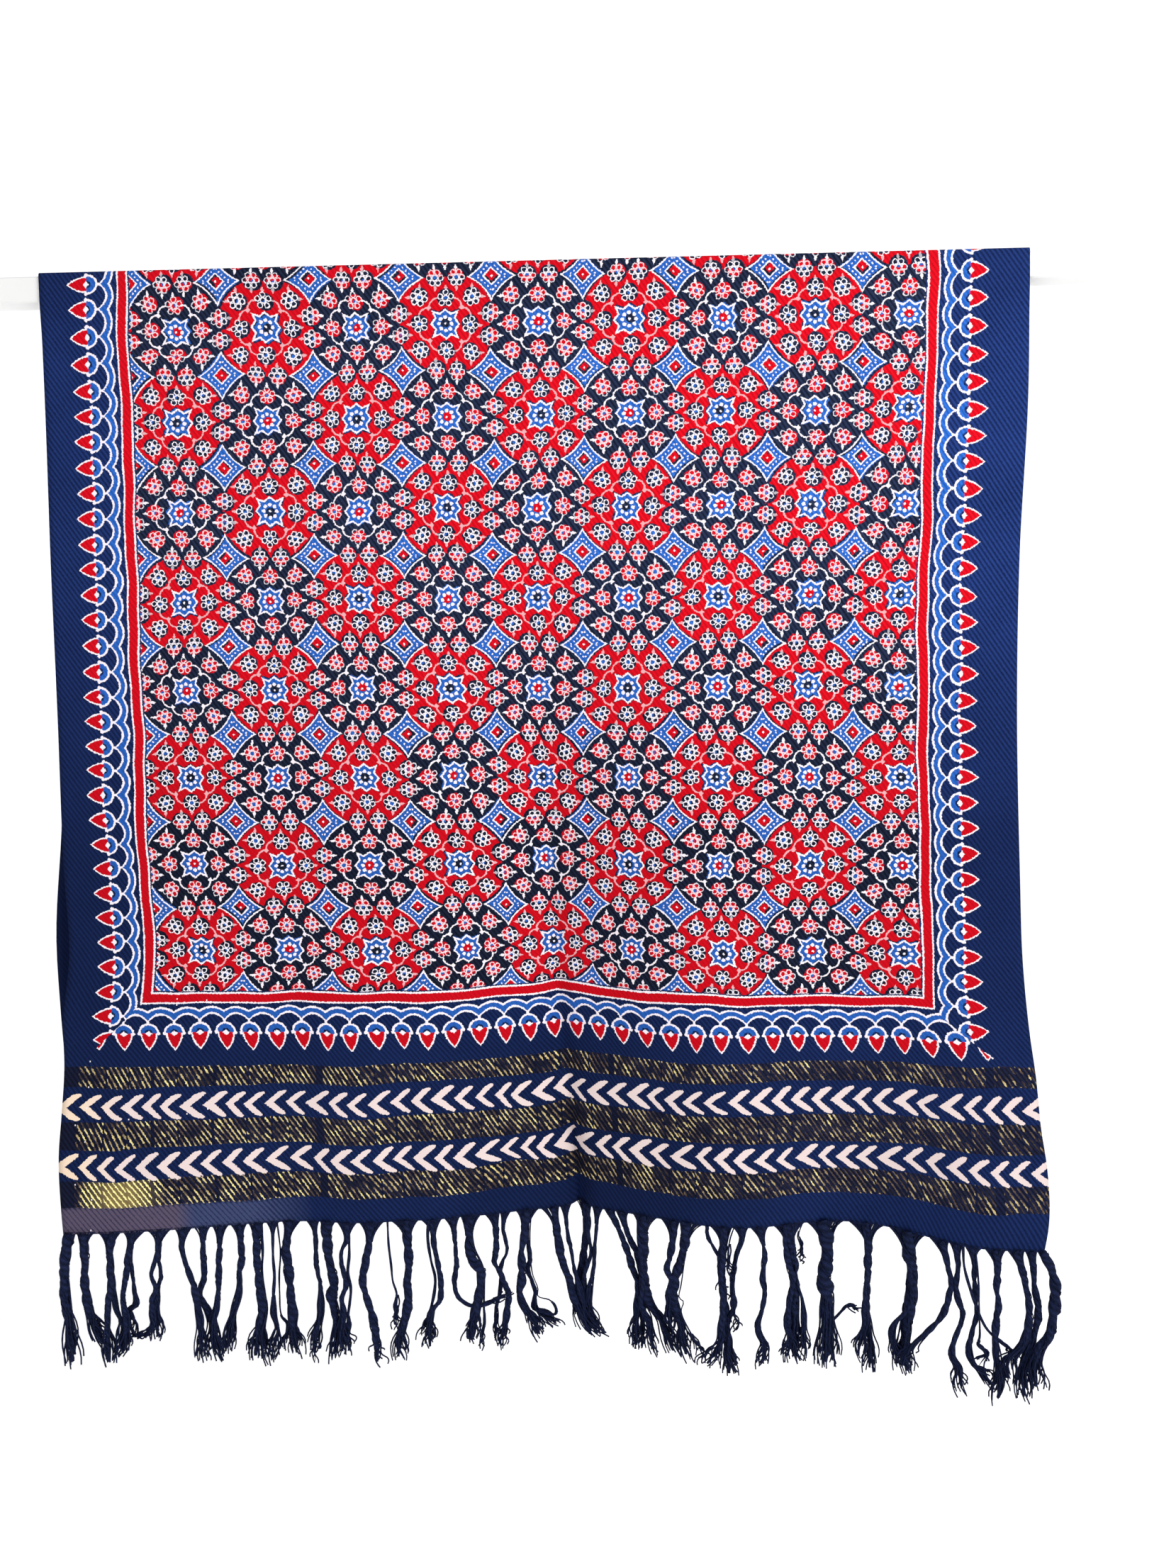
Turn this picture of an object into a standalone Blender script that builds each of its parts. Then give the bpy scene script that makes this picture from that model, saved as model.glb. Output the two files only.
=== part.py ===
"""Ajrakh stole, block printed on indigo cotton twill, hung over a plain rail.

The frame: +X runs along the rail to its right end, +Z is up, and the printed front
of the stole faces -Y. The origin is the middle of the rail's right end face.

The stole is one cloth. Its fringed end hangs in front. The rest goes over the rail and
down the back, folds inward there, comes up again, passes over the rail under the first
layer and ends behind the front, where nothing shows it.
"""

import math
import random

import bmesh
import bpy
import numpy as np

# Driving dimensions, in metres
RAIL_LENGTH = 1.0
RAIL_SIDE = 0.018
RAIL_EDGE = 0.001
CLOTH_WIDTH = 0.700
CLOTH_THICK = 0.0012
RAIL_CLEARANCE = 0.0021
LAYER_GAP = 0.0008
LEFT_SELVEDGE = -0.850
RIGHT_SELVEDGE = -0.150
FRONT_DROP = 0.697
RIGHT_CORNER_SAG = 0.007
BACK_DROP = 0.590
TUCK_DROP = 0.085
BACK_STAND_OFF = 0.010
FOLD_RADIUS = 0.004
BACK_SHARE_OF_FOLDS = 0.8

# How finely the cloth is cut into faces
COLUMNS = 26
FRONT_ROWS = 20
BACK_ROWS = 14
TUCK_ROWS = 3
CORNER_STEPS = 3
FOLD_STEPS = 5

# The fringe
STRIP_GAP = 0.00045
STRIP_HEIGHT = 0.003
STRAND_COUNT = 54
STRAND_ROOT = 0.0062
STRAND_WIDTH = 0.0040
STRAND_DEPTH = 0.0026
STRAND_STEPS = 5
STRAND_SWAY = 0.0022
FRINGE_SEED = 7

# The selvedges as they hang, in mm: drop below the rail's top, left and right shift outwards
# from LEFT_SELVEDGE and RIGHT_SELVEDGE along X
FRONT_EDGES = [
    # drop, left, right
    (0, 1, -8),
    (100, 1, -7),
    (210, 0, -11),
    (310, 0, -11),
    (440, -1, -6),
    (490, 1, -4),
    (545, -4, 1),
    (575, -3, 5),
    (610, -5, 8),
    (640, -7, 12),
    (680, -5, 12),
    (700, -3, 8),
]
BACK_EDGES = [
    # drop, left, right
    (0, 1, -8),
    (200, -8, -18),
    (390, -17, -26),
    (490, -24, -32),
    (590, -27, -35),
]

# The folds, in mm: place across the cloth at the top and at the hem, half width, how sharp the
# bottom is (1 is round), and the depth behind the flat cloth at each of FOLD_DROPS
FOLD_DROPS = (0, 150, 300, 490, 580, 700)
FOLDS = [
    # place, place at hem, half width, sharpness, depths at FOLD_DROPS
    ("storage crease", 350, 363, 112, 1.5, (0, 1, 12, 33, 34, 33)),
    ("belly", 330, 330, 330, 1.0, (0, 0, 0, 2, 5, 11)),
    ("right dip", 545, 572, 90, 1.0, (0, 0, 1, 5, 10, 21)),
    ("left ridge", 205, 205, 40, 1.0, (0, 0, 0, -2, -5, -4)),
    ("left corner", 0, 0, 170, 1.0, (0, 0, 0, 0, -8, -20)),
    ("right corner", 700, 700, 150, 1.0, (0, 0, 0, 0, -7, -20)),
]
CREASE_BEND = (250, 500)

# The fringe from left to right, in mm: where a group starts across the cloth, how long its
# strands are and how far their tips lean to the right
FRINGE_GROUPS = [
    # start, length, lean
    (0, 97, 0),
    (60, 92, -6),
    (90, 99, 3),
    (210, 98, 2),
    (330, 95, 8),
    (400, 102, 5),
    (450, 108, 1),
    (560, 112, 1),
    (640, 110, 3),
    (700, 110, 0),
]

MM = 0.001


def curve_through(x, xs, ys):
    """A smooth curve through a short table, read at x."""
    xs = np.asarray(xs, float)
    ys = np.asarray(ys, float)
    slope = np.gradient(ys, xs)
    x = np.clip(x, xs[0], xs[-1])
    i = np.clip(np.searchsorted(xs, x, side="right") - 1, 0, len(xs) - 2)
    step = xs[i + 1] - xs[i]
    t = (x - xs[i]) / step
    rise = ys[i + 1] - ys[i]
    start = slope[i] * step
    end = slope[i + 1] * step
    return ys[i] + t * start + t * t * (3 * rise - 2 * start - end) + t ** 3 * (start + end - 2 * rise)


def ease(t):
    """Goes softly from 0 to 1 as t does."""
    t = np.clip(t, 0.0, 1.0)
    return t * t * (3 - 2 * t)


def fold_depth(across, drop):
    """How far the cloth lies behind its flat plane, for a place on it, in metres."""
    depth = np.zeros(np.broadcast(across, drop).shape)
    shift = ease((drop / MM - CREASE_BEND[0]) / (CREASE_BEND[1] - CREASE_BEND[0]))
    for _, place, hem_place, half_width, sharpness, depths in FOLDS:
        centre = place + (hem_place - place) * shift
        off = np.clip(np.abs(across / MM - centre) / half_width, 0.0, 1.0)
        if sharpness > 1:
            form = (1 - off) ** sharpness * (1 + 0.35 * off)
        else:
            form = (1 - off * off) ** 2
        depth = depth + form * curve_through(drop / MM, FOLD_DROPS, depths) * MM
    return depth


def places_along(across, drop, share, edges):
    """X of the points of one row: the folds shorten it, and the selvedges are where the table says."""
    fine = np.linspace(0.0, CLOTH_WIDTH, 281)
    slope = np.gradient(share * fold_depth(fine, np.full_like(fine, drop)), fine)
    step = np.sqrt(np.clip(1 - slope ** 2, 0.2, 1.0))
    run = np.concatenate([[0.0], np.cumsum((step[1:] + step[:-1]) / 2)])
    run = np.interp(across, fine, run / run[-1])
    table = np.array(edges, float)
    left = LEFT_SELVEDGE + curve_through(drop / MM, table[:, 0], table[:, 1]) * MM
    right = RIGHT_SELVEDGE + curve_through(drop / MM, table[:, 0], table[:, 2]) * MM
    return left + (right - left) * run


def section():
    """The rows of the cloth, from the front hem to the hidden end.

    Each row is (Y and Z with no folds in it, drop for the folds, share of the folds, which edges,
    how much of the right corner's sag it takes).
    """
    half = RAIL_SIDE / 2
    inner = half + RAIL_CLEARANCE + CLOTH_THICK / 2
    outer = inner + CLOTH_THICK + LAYER_GAP
    corner = RAIL_CLEARANCE + CLOTH_THICK / 2 + RAIL_EDGE / 2
    rows = []

    def over_rail(reach, radius, turn):
        """Round the rail's top from front (turn 1) to back, or from back to front (turn -1)."""
        for side in (1, -1):
            y = -side * turn * (reach - radius)
            for i in range(CORNER_STEPS + 1):
                angle = math.radians(90 * i / CORNER_STEPS)
                out = math.cos(angle) if side == 1 else math.sin(angle)
                up = math.sin(angle) if side == 1 else math.cos(angle)
                z = reach - radius + up * radius
                rows.append((y - side * turn * out * radius, z, 0.0, 0.0, FRONT_EDGES, 0))

    bottom = outer - FRONT_DROP
    for z in np.linspace(bottom, outer - corner - 0.006, FRONT_ROWS + 1):
        rows.append((-outer, z, outer - z, 1.0, FRONT_EDGES, 1))
    over_rail(outer, corner + CLOTH_THICK + LAYER_GAP, 1)
    turn_z = outer - BACK_DROP + FOLD_RADIUS
    top_z = outer - corner - 0.010
    for z in np.linspace(top_z, turn_z, BACK_ROWS + 1):
        drop = outer - z
        off = BACK_STAND_OFF * ease(drop / BACK_DROP)
        rows.append((outer + off, z, drop, BACK_SHARE_OF_FOLDS, BACK_EDGES, 0))
    turn_y = outer + BACK_STAND_OFF - FOLD_RADIUS
    for i in range(1, FOLD_STEPS):
        angle = math.pi * i / FOLD_STEPS
        y = turn_y + FOLD_RADIUS * math.cos(angle)
        z = turn_z - FOLD_RADIUS * math.sin(angle)
        rows.append((y, z, outer - turn_z, BACK_SHARE_OF_FOLDS, BACK_EDGES, 0))
    pitch = outer - inner
    for z in np.linspace(turn_z, top_z, BACK_ROWS + 1):
        drop = outer - z
        off = BACK_STAND_OFF * ease(drop / BACK_DROP)
        apart = pitch + (2 * FOLD_RADIUS - pitch) * ease((drop - 0.30) / (BACK_DROP - 0.30))
        rows.append((outer + off - apart, z, drop, BACK_SHARE_OF_FOLDS, BACK_EDGES, 0))
    over_rail(inner, corner, -1)
    for z in np.linspace(outer - corner - 0.006, outer - TUCK_DROP, TUCK_ROWS + 1):
        rows.append((-inner, z, outer - z, 1.0, FRONT_EDGES, 0))
    return rows


def cloth_points():
    """The middle of the cloth as a grid of points: rows from the front hem, columns from the left."""
    across = np.linspace(0.0, CLOTH_WIDTH, COLUMNS + 1)
    grid = []
    for y, z, drop, share, edges, sag in section():
        x = places_along(across, drop, share, edges)
        depth = share * fold_depth(across, np.full_like(across, drop))
        low = sag * RIGHT_CORNER_SAG * (across / CLOTH_WIDTH) ** 2 * ease(drop / FRONT_DROP)
        grid.append(np.stack([x, y + depth, z - low], axis=1))
    return np.array(grid)


def sheet_normals(grid):
    """The unit normal of the sheet at each point of the grid, towards its printed face."""
    along = np.gradient(grid, axis=0)
    across = np.gradient(grid, axis=1)
    normal = np.cross(across, along)
    return normal / np.linalg.norm(normal, axis=2, keepdims=True)


def material(name, colour, roughness):
    made = bpy.data.materials.new(name)
    made.use_nodes = True
    shader = made.node_tree.nodes["Principled BSDF"]
    shader.inputs["Base Color"].default_value = (*colour, 1.0)
    shader.inputs["Roughness"].default_value = roughness
    shader.inputs["Metallic"].default_value = 0.0
    return made


def add_object(name, bm, finish, smooth_angle=None):
    bmesh.ops.recalc_face_normals(bm, faces=bm.faces)
    mesh = bpy.data.meshes.new(name)
    bm.to_mesh(mesh)
    bm.free()
    mesh.materials.append(finish)
    if smooth_angle is not None:
        mesh.shade_smooth()
        mesh.set_sharp_from_angle(angle=math.radians(smooth_angle))
    made = bpy.data.objects.new(name, mesh)
    bpy.context.scene.collection.objects.link(made)
    return made


def add_rail():
    """The bar that the stole hangs over, with its long and end edges softened."""
    bm = bmesh.new()
    bmesh.ops.create_cube(bm, size=1.0)
    bmesh.ops.scale(bm, vec=(RAIL_LENGTH, RAIL_SIDE, RAIL_SIDE), verts=bm.verts)
    bmesh.ops.translate(bm, vec=(-RAIL_LENGTH / 2, 0.0, 0.0), verts=bm.verts)
    bmesh.ops.bevel(bm, geom=bm.edges[:], offset=RAIL_EDGE, segments=1, affect="EDGES")
    return add_object("rail", bm, material("painted pine", (0.86, 0.86, 0.85), 0.4))


def add_stole(grid):
    """The cloth: its two faces half a thickness from its middle, closed round the edge."""
    rows, columns = grid.shape[:2]
    offset = sheet_normals(grid) * CLOTH_THICK / 2
    bm = bmesh.new()
    sides = []
    for points in (grid + offset, grid - offset):
        sides.append([[bm.verts.new(p) for p in row] for row in points])
    printed, plain = sides
    for i in range(rows - 1):
        for j in range(columns - 1):
            bm.faces.new((printed[i][j], printed[i][j + 1], printed[i + 1][j + 1], printed[i + 1][j]))
            bm.faces.new((plain[i][j], plain[i + 1][j], plain[i + 1][j + 1], plain[i][j + 1]))
    rim = [(i, 0) for i in range(rows)]
    rim += [(rows - 1, j) for j in range(1, columns)]
    rim += [(i, columns - 1) for i in range(rows - 2, -1, -1)]
    rim += [(0, j) for j in range(columns - 2, 0, -1)]
    for (i, j), (k, m) in zip(rim, rim[1:] + rim[:1]):
        bm.faces.new((printed[i][j], printed[k][m], plain[k][m], plain[i][j]))
    return add_object("stole", bm, material("indigo cotton twill", (0.02, 0.03, 0.12), 0.85), 40)


def along_hem(hem, place):
    """The point of the hem and its direction in plan, for a place from 0, the left, to 1."""
    at = place * (len(hem) - 1)
    i = min(int(at), len(hem) - 2)
    point = hem[i] + (hem[i + 1] - hem[i]) * (at - i)
    direction = hem[i + 1] - hem[i]
    direction = direction * (1, 1, 0)
    return point, direction / np.linalg.norm(direction)


def add_fringe(hem):
    """A narrow strip just under the hem, with the loose warp ends drawn down from it in strands."""
    chance = random.Random(FRINGE_SEED)
    groups = np.array(FRINGE_GROUPS, float)
    pitch = 1.0 / STRAND_COUNT
    root = STRAND_ROOT / CLOTH_WIDTH
    stations = [0.0]
    for n in range(STRAND_COUNT):
        middle = (n + 0.5) * pitch
        stations += [middle - root / 2, middle + root / 2]
    stations.append(1.0)

    bm = bmesh.new()
    rings = []
    for place in stations:
        point, direction = along_hem(hem, place)
        back = np.array([-direction[1], direction[0], 0.0]) * CLOTH_THICK / 2
        top = point - (0, 0, STRIP_GAP)
        low = top - (0, 0, STRIP_HEIGHT)
        rings.append([bm.verts.new(p) for p in (top - back, top + back, low + back, low - back)])
    for i, (a, b) in enumerate(zip(rings, rings[1:])):
        bm.faces.new((a[0], b[0], b[1], a[1]))
        bm.faces.new((a[1], b[1], b[2], a[2]))
        bm.faces.new((a[3], b[3], b[0], a[0])[::-1])
        if i % 2 == 0:
            bm.faces.new((a[2], b[2], b[3], a[3]))
        else:
            add_strand(bm, (a[3], b[3], b[2], a[2]), groups, stations[i : i + 2], chance)
    bm.faces.new(rings[0])
    bm.faces.new(rings[-1][::-1])
    return add_object("fringe", bm, material("indigo cotton yarn", (0.02, 0.03, 0.10), 0.9))


def add_strand(bm, root, groups, span, chance):
    """One strand of four sides, drawn down from the strip's underside."""
    place = (span[0] + span[1]) / 2 * CLOTH_WIDTH / MM
    length = curve_through(place, groups[:, 0], groups[:, 1]) * MM * chance.uniform(0.93, 1.03)
    lean = curve_through(place, groups[:, 0], groups[:, 2]) * MM
    phase = chance.uniform(0, 2 * math.pi)
    middle = np.mean([v.co for v in root], axis=0)
    ring = list(root)
    for step in range(1, STRAND_STEPS + 1):
        t = step / STRAND_STEPS
        drawn = 1 - 0.35 * t
        wave = STRAND_SWAY * t * math.sin(phase + 5 * t)
        centre = middle + (lean * t * t + wave, 0.5 * wave, -length * t)
        half_w = STRAND_WIDTH / 2 * drawn
        half_d = STRAND_DEPTH / 2 * drawn
        corners = ((-half_w, -half_d), (half_w, -half_d), (half_w, half_d), (-half_w, half_d))
        nxt = [bm.verts.new(centre + (dx, dy, 0.0)) for dx, dy in corners]
        for k in range(4):
            bm.faces.new((ring[k], ring[(k + 1) % 4], nxt[(k + 1) % 4], nxt[k]))
        ring = nxt
    bm.faces.new(ring)


def main():
    for made in list(bpy.data.objects):
        bpy.data.objects.remove(made)
    grid = cloth_points()
    add_rail()
    add_stole(grid)
    add_fringe(grid[0])


main()
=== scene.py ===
# %% [markdown]
# # An ajrakh stole over a painted rail
# The real thing is a length of indigo cotton twill, about 28 by 80 inches. It is printed with
# carved blocks in navy, red and blue, with gold bands woven across its end and the loose
# warp twisted into tassels below them. It hangs over a square bar.
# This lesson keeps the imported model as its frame. The bar stays as it is and only gets its
# paint. The stole and its fringe are modelled again, finer, on the same folds.

# %% Load the frame
import functools
import math
import random

import bpy
import numpy as np
from mathutils import Matrix


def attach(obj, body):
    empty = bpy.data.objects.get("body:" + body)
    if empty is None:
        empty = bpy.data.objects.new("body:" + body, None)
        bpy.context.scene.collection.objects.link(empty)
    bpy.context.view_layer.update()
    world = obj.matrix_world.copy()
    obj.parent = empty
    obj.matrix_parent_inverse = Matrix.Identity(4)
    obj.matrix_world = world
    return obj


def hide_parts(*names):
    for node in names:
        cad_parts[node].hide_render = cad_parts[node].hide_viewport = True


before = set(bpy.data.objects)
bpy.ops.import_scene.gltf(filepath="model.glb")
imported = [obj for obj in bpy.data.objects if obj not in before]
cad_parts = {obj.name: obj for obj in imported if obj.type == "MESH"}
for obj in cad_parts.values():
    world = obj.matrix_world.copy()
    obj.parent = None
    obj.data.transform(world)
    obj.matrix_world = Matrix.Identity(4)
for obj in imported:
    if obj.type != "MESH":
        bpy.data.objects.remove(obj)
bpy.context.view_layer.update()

MM = 0.001
bpy.ops.object.select_all(action="DESELECT")

# %% [markdown]
# ## How the cloth hangs
# A cloth could be dropped over the bar by a simulation, but then each fold would fall by
# chance. This one has to fall as in the photograph, so it is set out one by one: a section that
# runs from the front hem over the bar, down the back, round a fold, up again and over the
# bar under itself, and a table of folds that push that section back or forward.
# All sizes in this part are in millimetres, on the cloth: across from the left selvedge, and
# drop below the top of the bar.

# %% Sizes of the cloth on its rail
CLOTH_WIDTH = 700
CLOTH_LENGTH = 2010
CLOTH_THICK = 0.7
LEFT_SELVEDGE = -850
RIGHT_SELVEDGE = -150
DROP_DATUM = 13.7
INNER_REACH = 9.75
OUTER_REACH = 10.75
INNER_CORNER = 1.3
OUTER_CORNER = 2.3
FRONT_BOTTOM = -683.3
BACK_BOTTOM = -576.3
TUCK_BOTTOM = -71.3
BACK_STAND_OFF = 10
FOLD_RADIUS = 4
BACK_SHARE_OF_FOLDS = 0.8
RIGHT_CORNER_SAG = 7

# The selvedges: drop, left and right shift outwards
FRONT_EDGES = [
    (0, 1, -8), (100, 1, -7), (210, 0, -11), (310, 0, -11), (440, -1, -6), (490, 1, -4),
    (545, -4, 1), (575, -3, 5), (610, -5, 8), (640, -7, 12), (680, -5, 12), (700, -3, 8),
]
BACK_EDGES = [
    (0, 1, -8), (200, -6, -18), (390, -13, -26), (490, -20.5, -32), (540, -17.5, -34), (590, -13, -35),
]

# %% [markdown]
# The folds come in two kinds. The wide ones give the cloth its form, and are the same as in
# the frame. The creases are narrow and shallow, each a line from one point of the cloth to
# another: the edge of the storage crease, the slanting pull in the hem, and the puckers that
# the stiff gold bands draw into the softer cotton beside them.

# %% Folds and creases
FOLD_DROPS = (0, 150, 300, 490, 580, 700)
FOLDS = [
    # name, place at top, place at hem, half width, sharpness, depth at each of FOLD_DROPS
    ("storage crease", 350, 363, 112, 1.5, (0, 1, 12, 33, 34, 33)),
    ("belly", 330, 330, 330, 1.0, (0, 0, 0, 2, 5, 11)),
    ("right dip", 545, 572, 90, 1.0, (0, 0, 1, 5, 10, 21)),
    ("left ridge", 205, 205, 40, 1.0, (0, 0, 0, -2, -5, -4)),
    ("left corner", 0, 0, 170, 1.0, (0, 0, 0, 0, -8, -20)),
    ("right corner", 700, 700, 150, 1.0, (0, 0, 0, 0, -7, -20)),
]
CREASE_BEND = (250, 500)
CREASES = [
    # name, from (across, drop), to (across, drop), half width, depth; minus stands forward
    ("core of the storage crease", (355, 430), (362, 600), 6.5, 5.5),
    ("core below the back layer", (363, 616), (368, 720), 5.0, 10.0),
    ("lip left of it", (340, 560), (346, 720), 13, -2.4),
    ("lip right of it", (384, 560), (384, 720), 14, -1.4),
    ("slanting pull in the hem", (262, 704), (345, 640), 11, 2.2),
    ("ridge over the pull", (250, 684), (330, 622), 12, -1.5),
    ("short pull by the left corner", (18, 600), (60, 640), 10, 1.2),
    ("pucker left 1", (52, 560), (54, 690), 8, 0.9),
    ("pucker left 2", (98, 566), (100, 650), 9, -0.9),
    ("pucker left 3", (147, 560), (150, 690), 8, 0.9),
    ("pucker left 4", (243, 568), (240, 700), 9, 1.0),
    ("pucker left 5", (292, 560), (290, 640), 10, -1.0),
    ("pucker right 1", (432, 566), (430, 690), 9, 1.1),
    ("pucker right 2", (480, 562), (480, 650), 10, -1.0),
    ("pucker right 3", (527, 566), (530, 690), 8, 1.0),
    ("pucker right 4", (620, 566), (622, 690), 9, 1.0),
    ("pucker right 5", (666, 580), (668, 700), 9, -1.0),
    ("long soft fold left", (150, 180), (170, 520), 36, 1.6),
    ("long soft fold right", (596, 160), (570, 520), 44, 2.0),
]


def curve_through(x, xs, ys):
    """A smooth curve through a short table, read at x."""
    xs = np.asarray(xs, float)
    ys = np.asarray(ys, float)
    slope = np.gradient(ys, xs)
    x = np.clip(x, xs[0], xs[-1])
    i = np.clip(np.searchsorted(xs, x, side="right") - 1, 0, len(xs) - 2)
    step = xs[i + 1] - xs[i]
    t = (x - xs[i]) / step
    rise = ys[i + 1] - ys[i]
    start = slope[i] * step
    end = slope[i + 1] * step
    return ys[i] + t * start + t * t * (3 * rise - 2 * start - end) + t ** 3 * (start + end - 2 * rise)


def ease(t):
    """Goes softly from 0 to 1 as t does."""
    t = np.clip(t, 0.0, 1.0)
    return t * t * (3 - 2 * t)


def fold_depth(across, drop):
    """How far the wide folds set the cloth back, in mm."""
    depth = np.zeros(np.broadcast(across, drop).shape)
    shift = ease((drop - CREASE_BEND[0]) / (CREASE_BEND[1] - CREASE_BEND[0]))
    for _, place, hem_place, half_width, sharpness, depths in FOLDS:
        centre = place + (hem_place - place) * shift
        off = np.clip(np.abs(across - centre) / half_width, 0.0, 1.0)
        if sharpness > 1:
            form = (1 - off) ** sharpness * (1 + 0.35 * off)
        else:
            form = (1 - off * off) ** 2
        depth = depth + form * curve_through(drop, FOLD_DROPS, depths)
    return depth


def crease_depth(across, drop):
    """How far the narrow creases set the cloth back, in mm."""
    depth = np.zeros(np.broadcast(across, drop).shape)
    for _, start, end, half_width, deep in CREASES:
        run = np.array(end, float) - start
        length = np.hypot(*run)
        along = ((across - start[0]) * run[0] + (drop - start[1]) * run[1]) / length
        aside = ((across - start[0]) * run[1] - (drop - start[1]) * run[0]) / length
        ends = ease((along + 25) / 50) * ease((length + 25 - along) / 50)
        depth = depth + deep * ends * np.exp(-((aside / half_width) ** 2))
    return depth


print(len(FOLDS), "folds,", len(CREASES), "creases")

# %% [markdown]
# The section is a list of rows. Where the cloth lies on the bar it turns its corners in small
# arcs, one layer outside the other. Each row also says how much of the folds it takes, because
# the back takes a little less of them than the front.

# %% The rows of the section
FRONT_ROW = 5
BACK_ROW = 8
HIDDEN_ROW = 14
CORNER_STEPS = 4
FOLD_STEPS = 8


def over_rail(rows, reach, corner, turn):
    """Round the top of the bar: turn 1 from front to back, turn -1 from back to front."""
    for side in (1, -1):
        for i in range(CORNER_STEPS + 1):
            angle = math.radians(90 * i / CORNER_STEPS)
            out, up = math.cos(angle), math.sin(angle)
            if side == -1:
                out, up = up, out
            y = -side * turn * (reach - corner + out * corner)
            rows.append((y, reach - corner + up * corner, 0.0, FRONT_EDGES, 0, 0))


def down_the_back(z):
    """How far the back stands off the bar's plane, and the drop there."""
    drop = DROP_DATUM - z
    return BACK_STAND_OFF * ease(drop / (DROP_DATUM - BACK_BOTTOM)), drop


# y, z, share of the folds, selvedges, share of the sag, share of the creases
rows = []
top = 4.0
for z in np.linspace(FRONT_BOTTOM, top, round((top - FRONT_BOTTOM) / FRONT_ROW) + 1):
    settle = 1.2 * ease((DROP_DATUM - z - 22) / 30)
    rows.append((-OUTER_REACH + settle, z, 1.0, FRONT_EDGES, 1, 1))
over_rail(rows, OUTER_REACH, OUTER_CORNER, 1)
turn_z = BACK_BOTTOM + FOLD_RADIUS
for z in np.linspace(top, turn_z, round((top - turn_z) / BACK_ROW) + 1):
    off, drop = down_the_back(z)
    rows.append((OUTER_REACH + off, z, BACK_SHARE_OF_FOLDS, BACK_EDGES, 0, 0))
turn_y = OUTER_REACH + BACK_STAND_OFF - FOLD_RADIUS
for i in range(1, FOLD_STEPS):
    angle = math.pi * i / FOLD_STEPS
    y = turn_y + FOLD_RADIUS * math.cos(angle)
    rows.append((y, turn_z - FOLD_RADIUS * math.sin(angle), BACK_SHARE_OF_FOLDS, BACK_EDGES, 0, 0))
for z in np.linspace(turn_z, top, round((top - turn_z) / HIDDEN_ROW) + 1):
    off, drop = down_the_back(z)
    pitch = OUTER_REACH - INNER_REACH
    apart = pitch + (2 * FOLD_RADIUS - pitch) * ease((drop - 300) / 290)
    rows.append((OUTER_REACH + off - apart, z, BACK_SHARE_OF_FOLDS, BACK_EDGES, 0, 0))
over_rail(rows, INNER_REACH, INNER_CORNER, -1)
for z in np.linspace(top, TUCK_BOTTOM, 8):
    settle = 1.2 * ease((DROP_DATUM - z - 22) / 30)
    rows.append((-INNER_REACH + settle, z, 1.0, FRONT_EDGES, 0, 0))
path = np.array([(row[0], row[1]) for row in rows])
run = np.concatenate([[0.0], np.cumsum(np.hypot(*np.diff(path, axis=0).T))])
print(len(rows), "rows, length along the cloth:", round(run[-1]), "mm")

# %% [markdown]
# ## The sheet
# The cloth starts as a grid primitive with one column every 5 mm, and each of its points is
# set on the section. The flat place of every point goes into a UV map in millimetres, so the
# print can be drawn on the cloth as it lay on the printer's table and follows each fold.
# Solidify then gives it its 0.7 mm, with the reverse as a second material.

# %% Set the grid on the section
COLUMNS = 140
across = np.linspace(0, CLOTH_WIDTH, COLUMNS + 1)
fine = np.linspace(0, CLOTH_WIDTH, 561)


def hang_row(row):
    """The points of one row of the cloth, in mm."""
    y, z, share, edges, sag, creased = row
    drop = max(DROP_DATUM - z, 0.0)
    if share:
        slope = np.gradient(share * fold_depth(fine, np.full_like(fine, drop)), fine)
        depth = share * fold_depth(across, np.full_like(across, drop))
    else:
        slope = np.zeros_like(fine)
        depth = np.zeros_like(across)
    if creased:
        depth = depth + crease_depth(across, np.full_like(across, drop)) * ease((drop - 95) / 60)
    short = np.sqrt(np.clip(1 - slope ** 2, 0.2, 1.0))
    part = np.concatenate([[0.0], np.cumsum((short[1:] + short[:-1]) / 2)])
    part = np.interp(across, fine, part / part[-1])
    table = np.array(edges, float)
    left = LEFT_SELVEDGE + curve_through(drop, table[:, 0], table[:, 1])
    right = RIGHT_SELVEDGE + curve_through(drop, table[:, 0], table[:, 2])
    low = sag * RIGHT_CORNER_SAG * (across / CLOTH_WIDTH) ** 2 * ease(drop / 697)
    return np.stack([left + (right - left) * part, y + depth, z - low], axis=1)


grid = np.array([hang_row(row) for row in rows])
bpy.ops.mesh.primitive_grid_add(x_subdivisions=COLUMNS, y_subdivisions=len(rows) - 1, size=1)
stole = bpy.context.object
stole.name = stole.data.name = "ajrakh_stole"
stole.data.vertices.foreach_set("co", (grid * MM).ravel())
place = np.stack(np.meshgrid(across, run), axis=-1).reshape(-1, 2)
print("grid points:", len(stole.data.vertices), "of", place.shape[0])

# %% Write the flat places into UV maps, and give the cloth its thickness
FRONT_LENGTH = 720
BACK_LENGTH = 1330

flat_map = stole.data.uv_layers[0]
flat_map.name = "flat_mm"
corners = np.array([loop.vertex_index for loop in stole.data.loops])
flat_map.data.foreach_set("uv", place[corners].ravel())
bpy.ops.object.shade_smooth()
thickness = stole.modifiers.new("thickness", "SOLIDIFY")
thickness.thickness = CLOTH_THICK * MM
thickness.offset = 0
thickness.material_offset = 1
thickness.use_even_offset = False
stole.data.materials.append(None)
stole.data.materials.append(None)
bpy.ops.object.modifier_apply(modifier=thickness.name)

# %% [markdown]
# A second UV map lays the same faces out in the unit square, for anyone who bakes the cloth
# into one image. The front of the print gets most of it, because it is what people look at.

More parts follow.
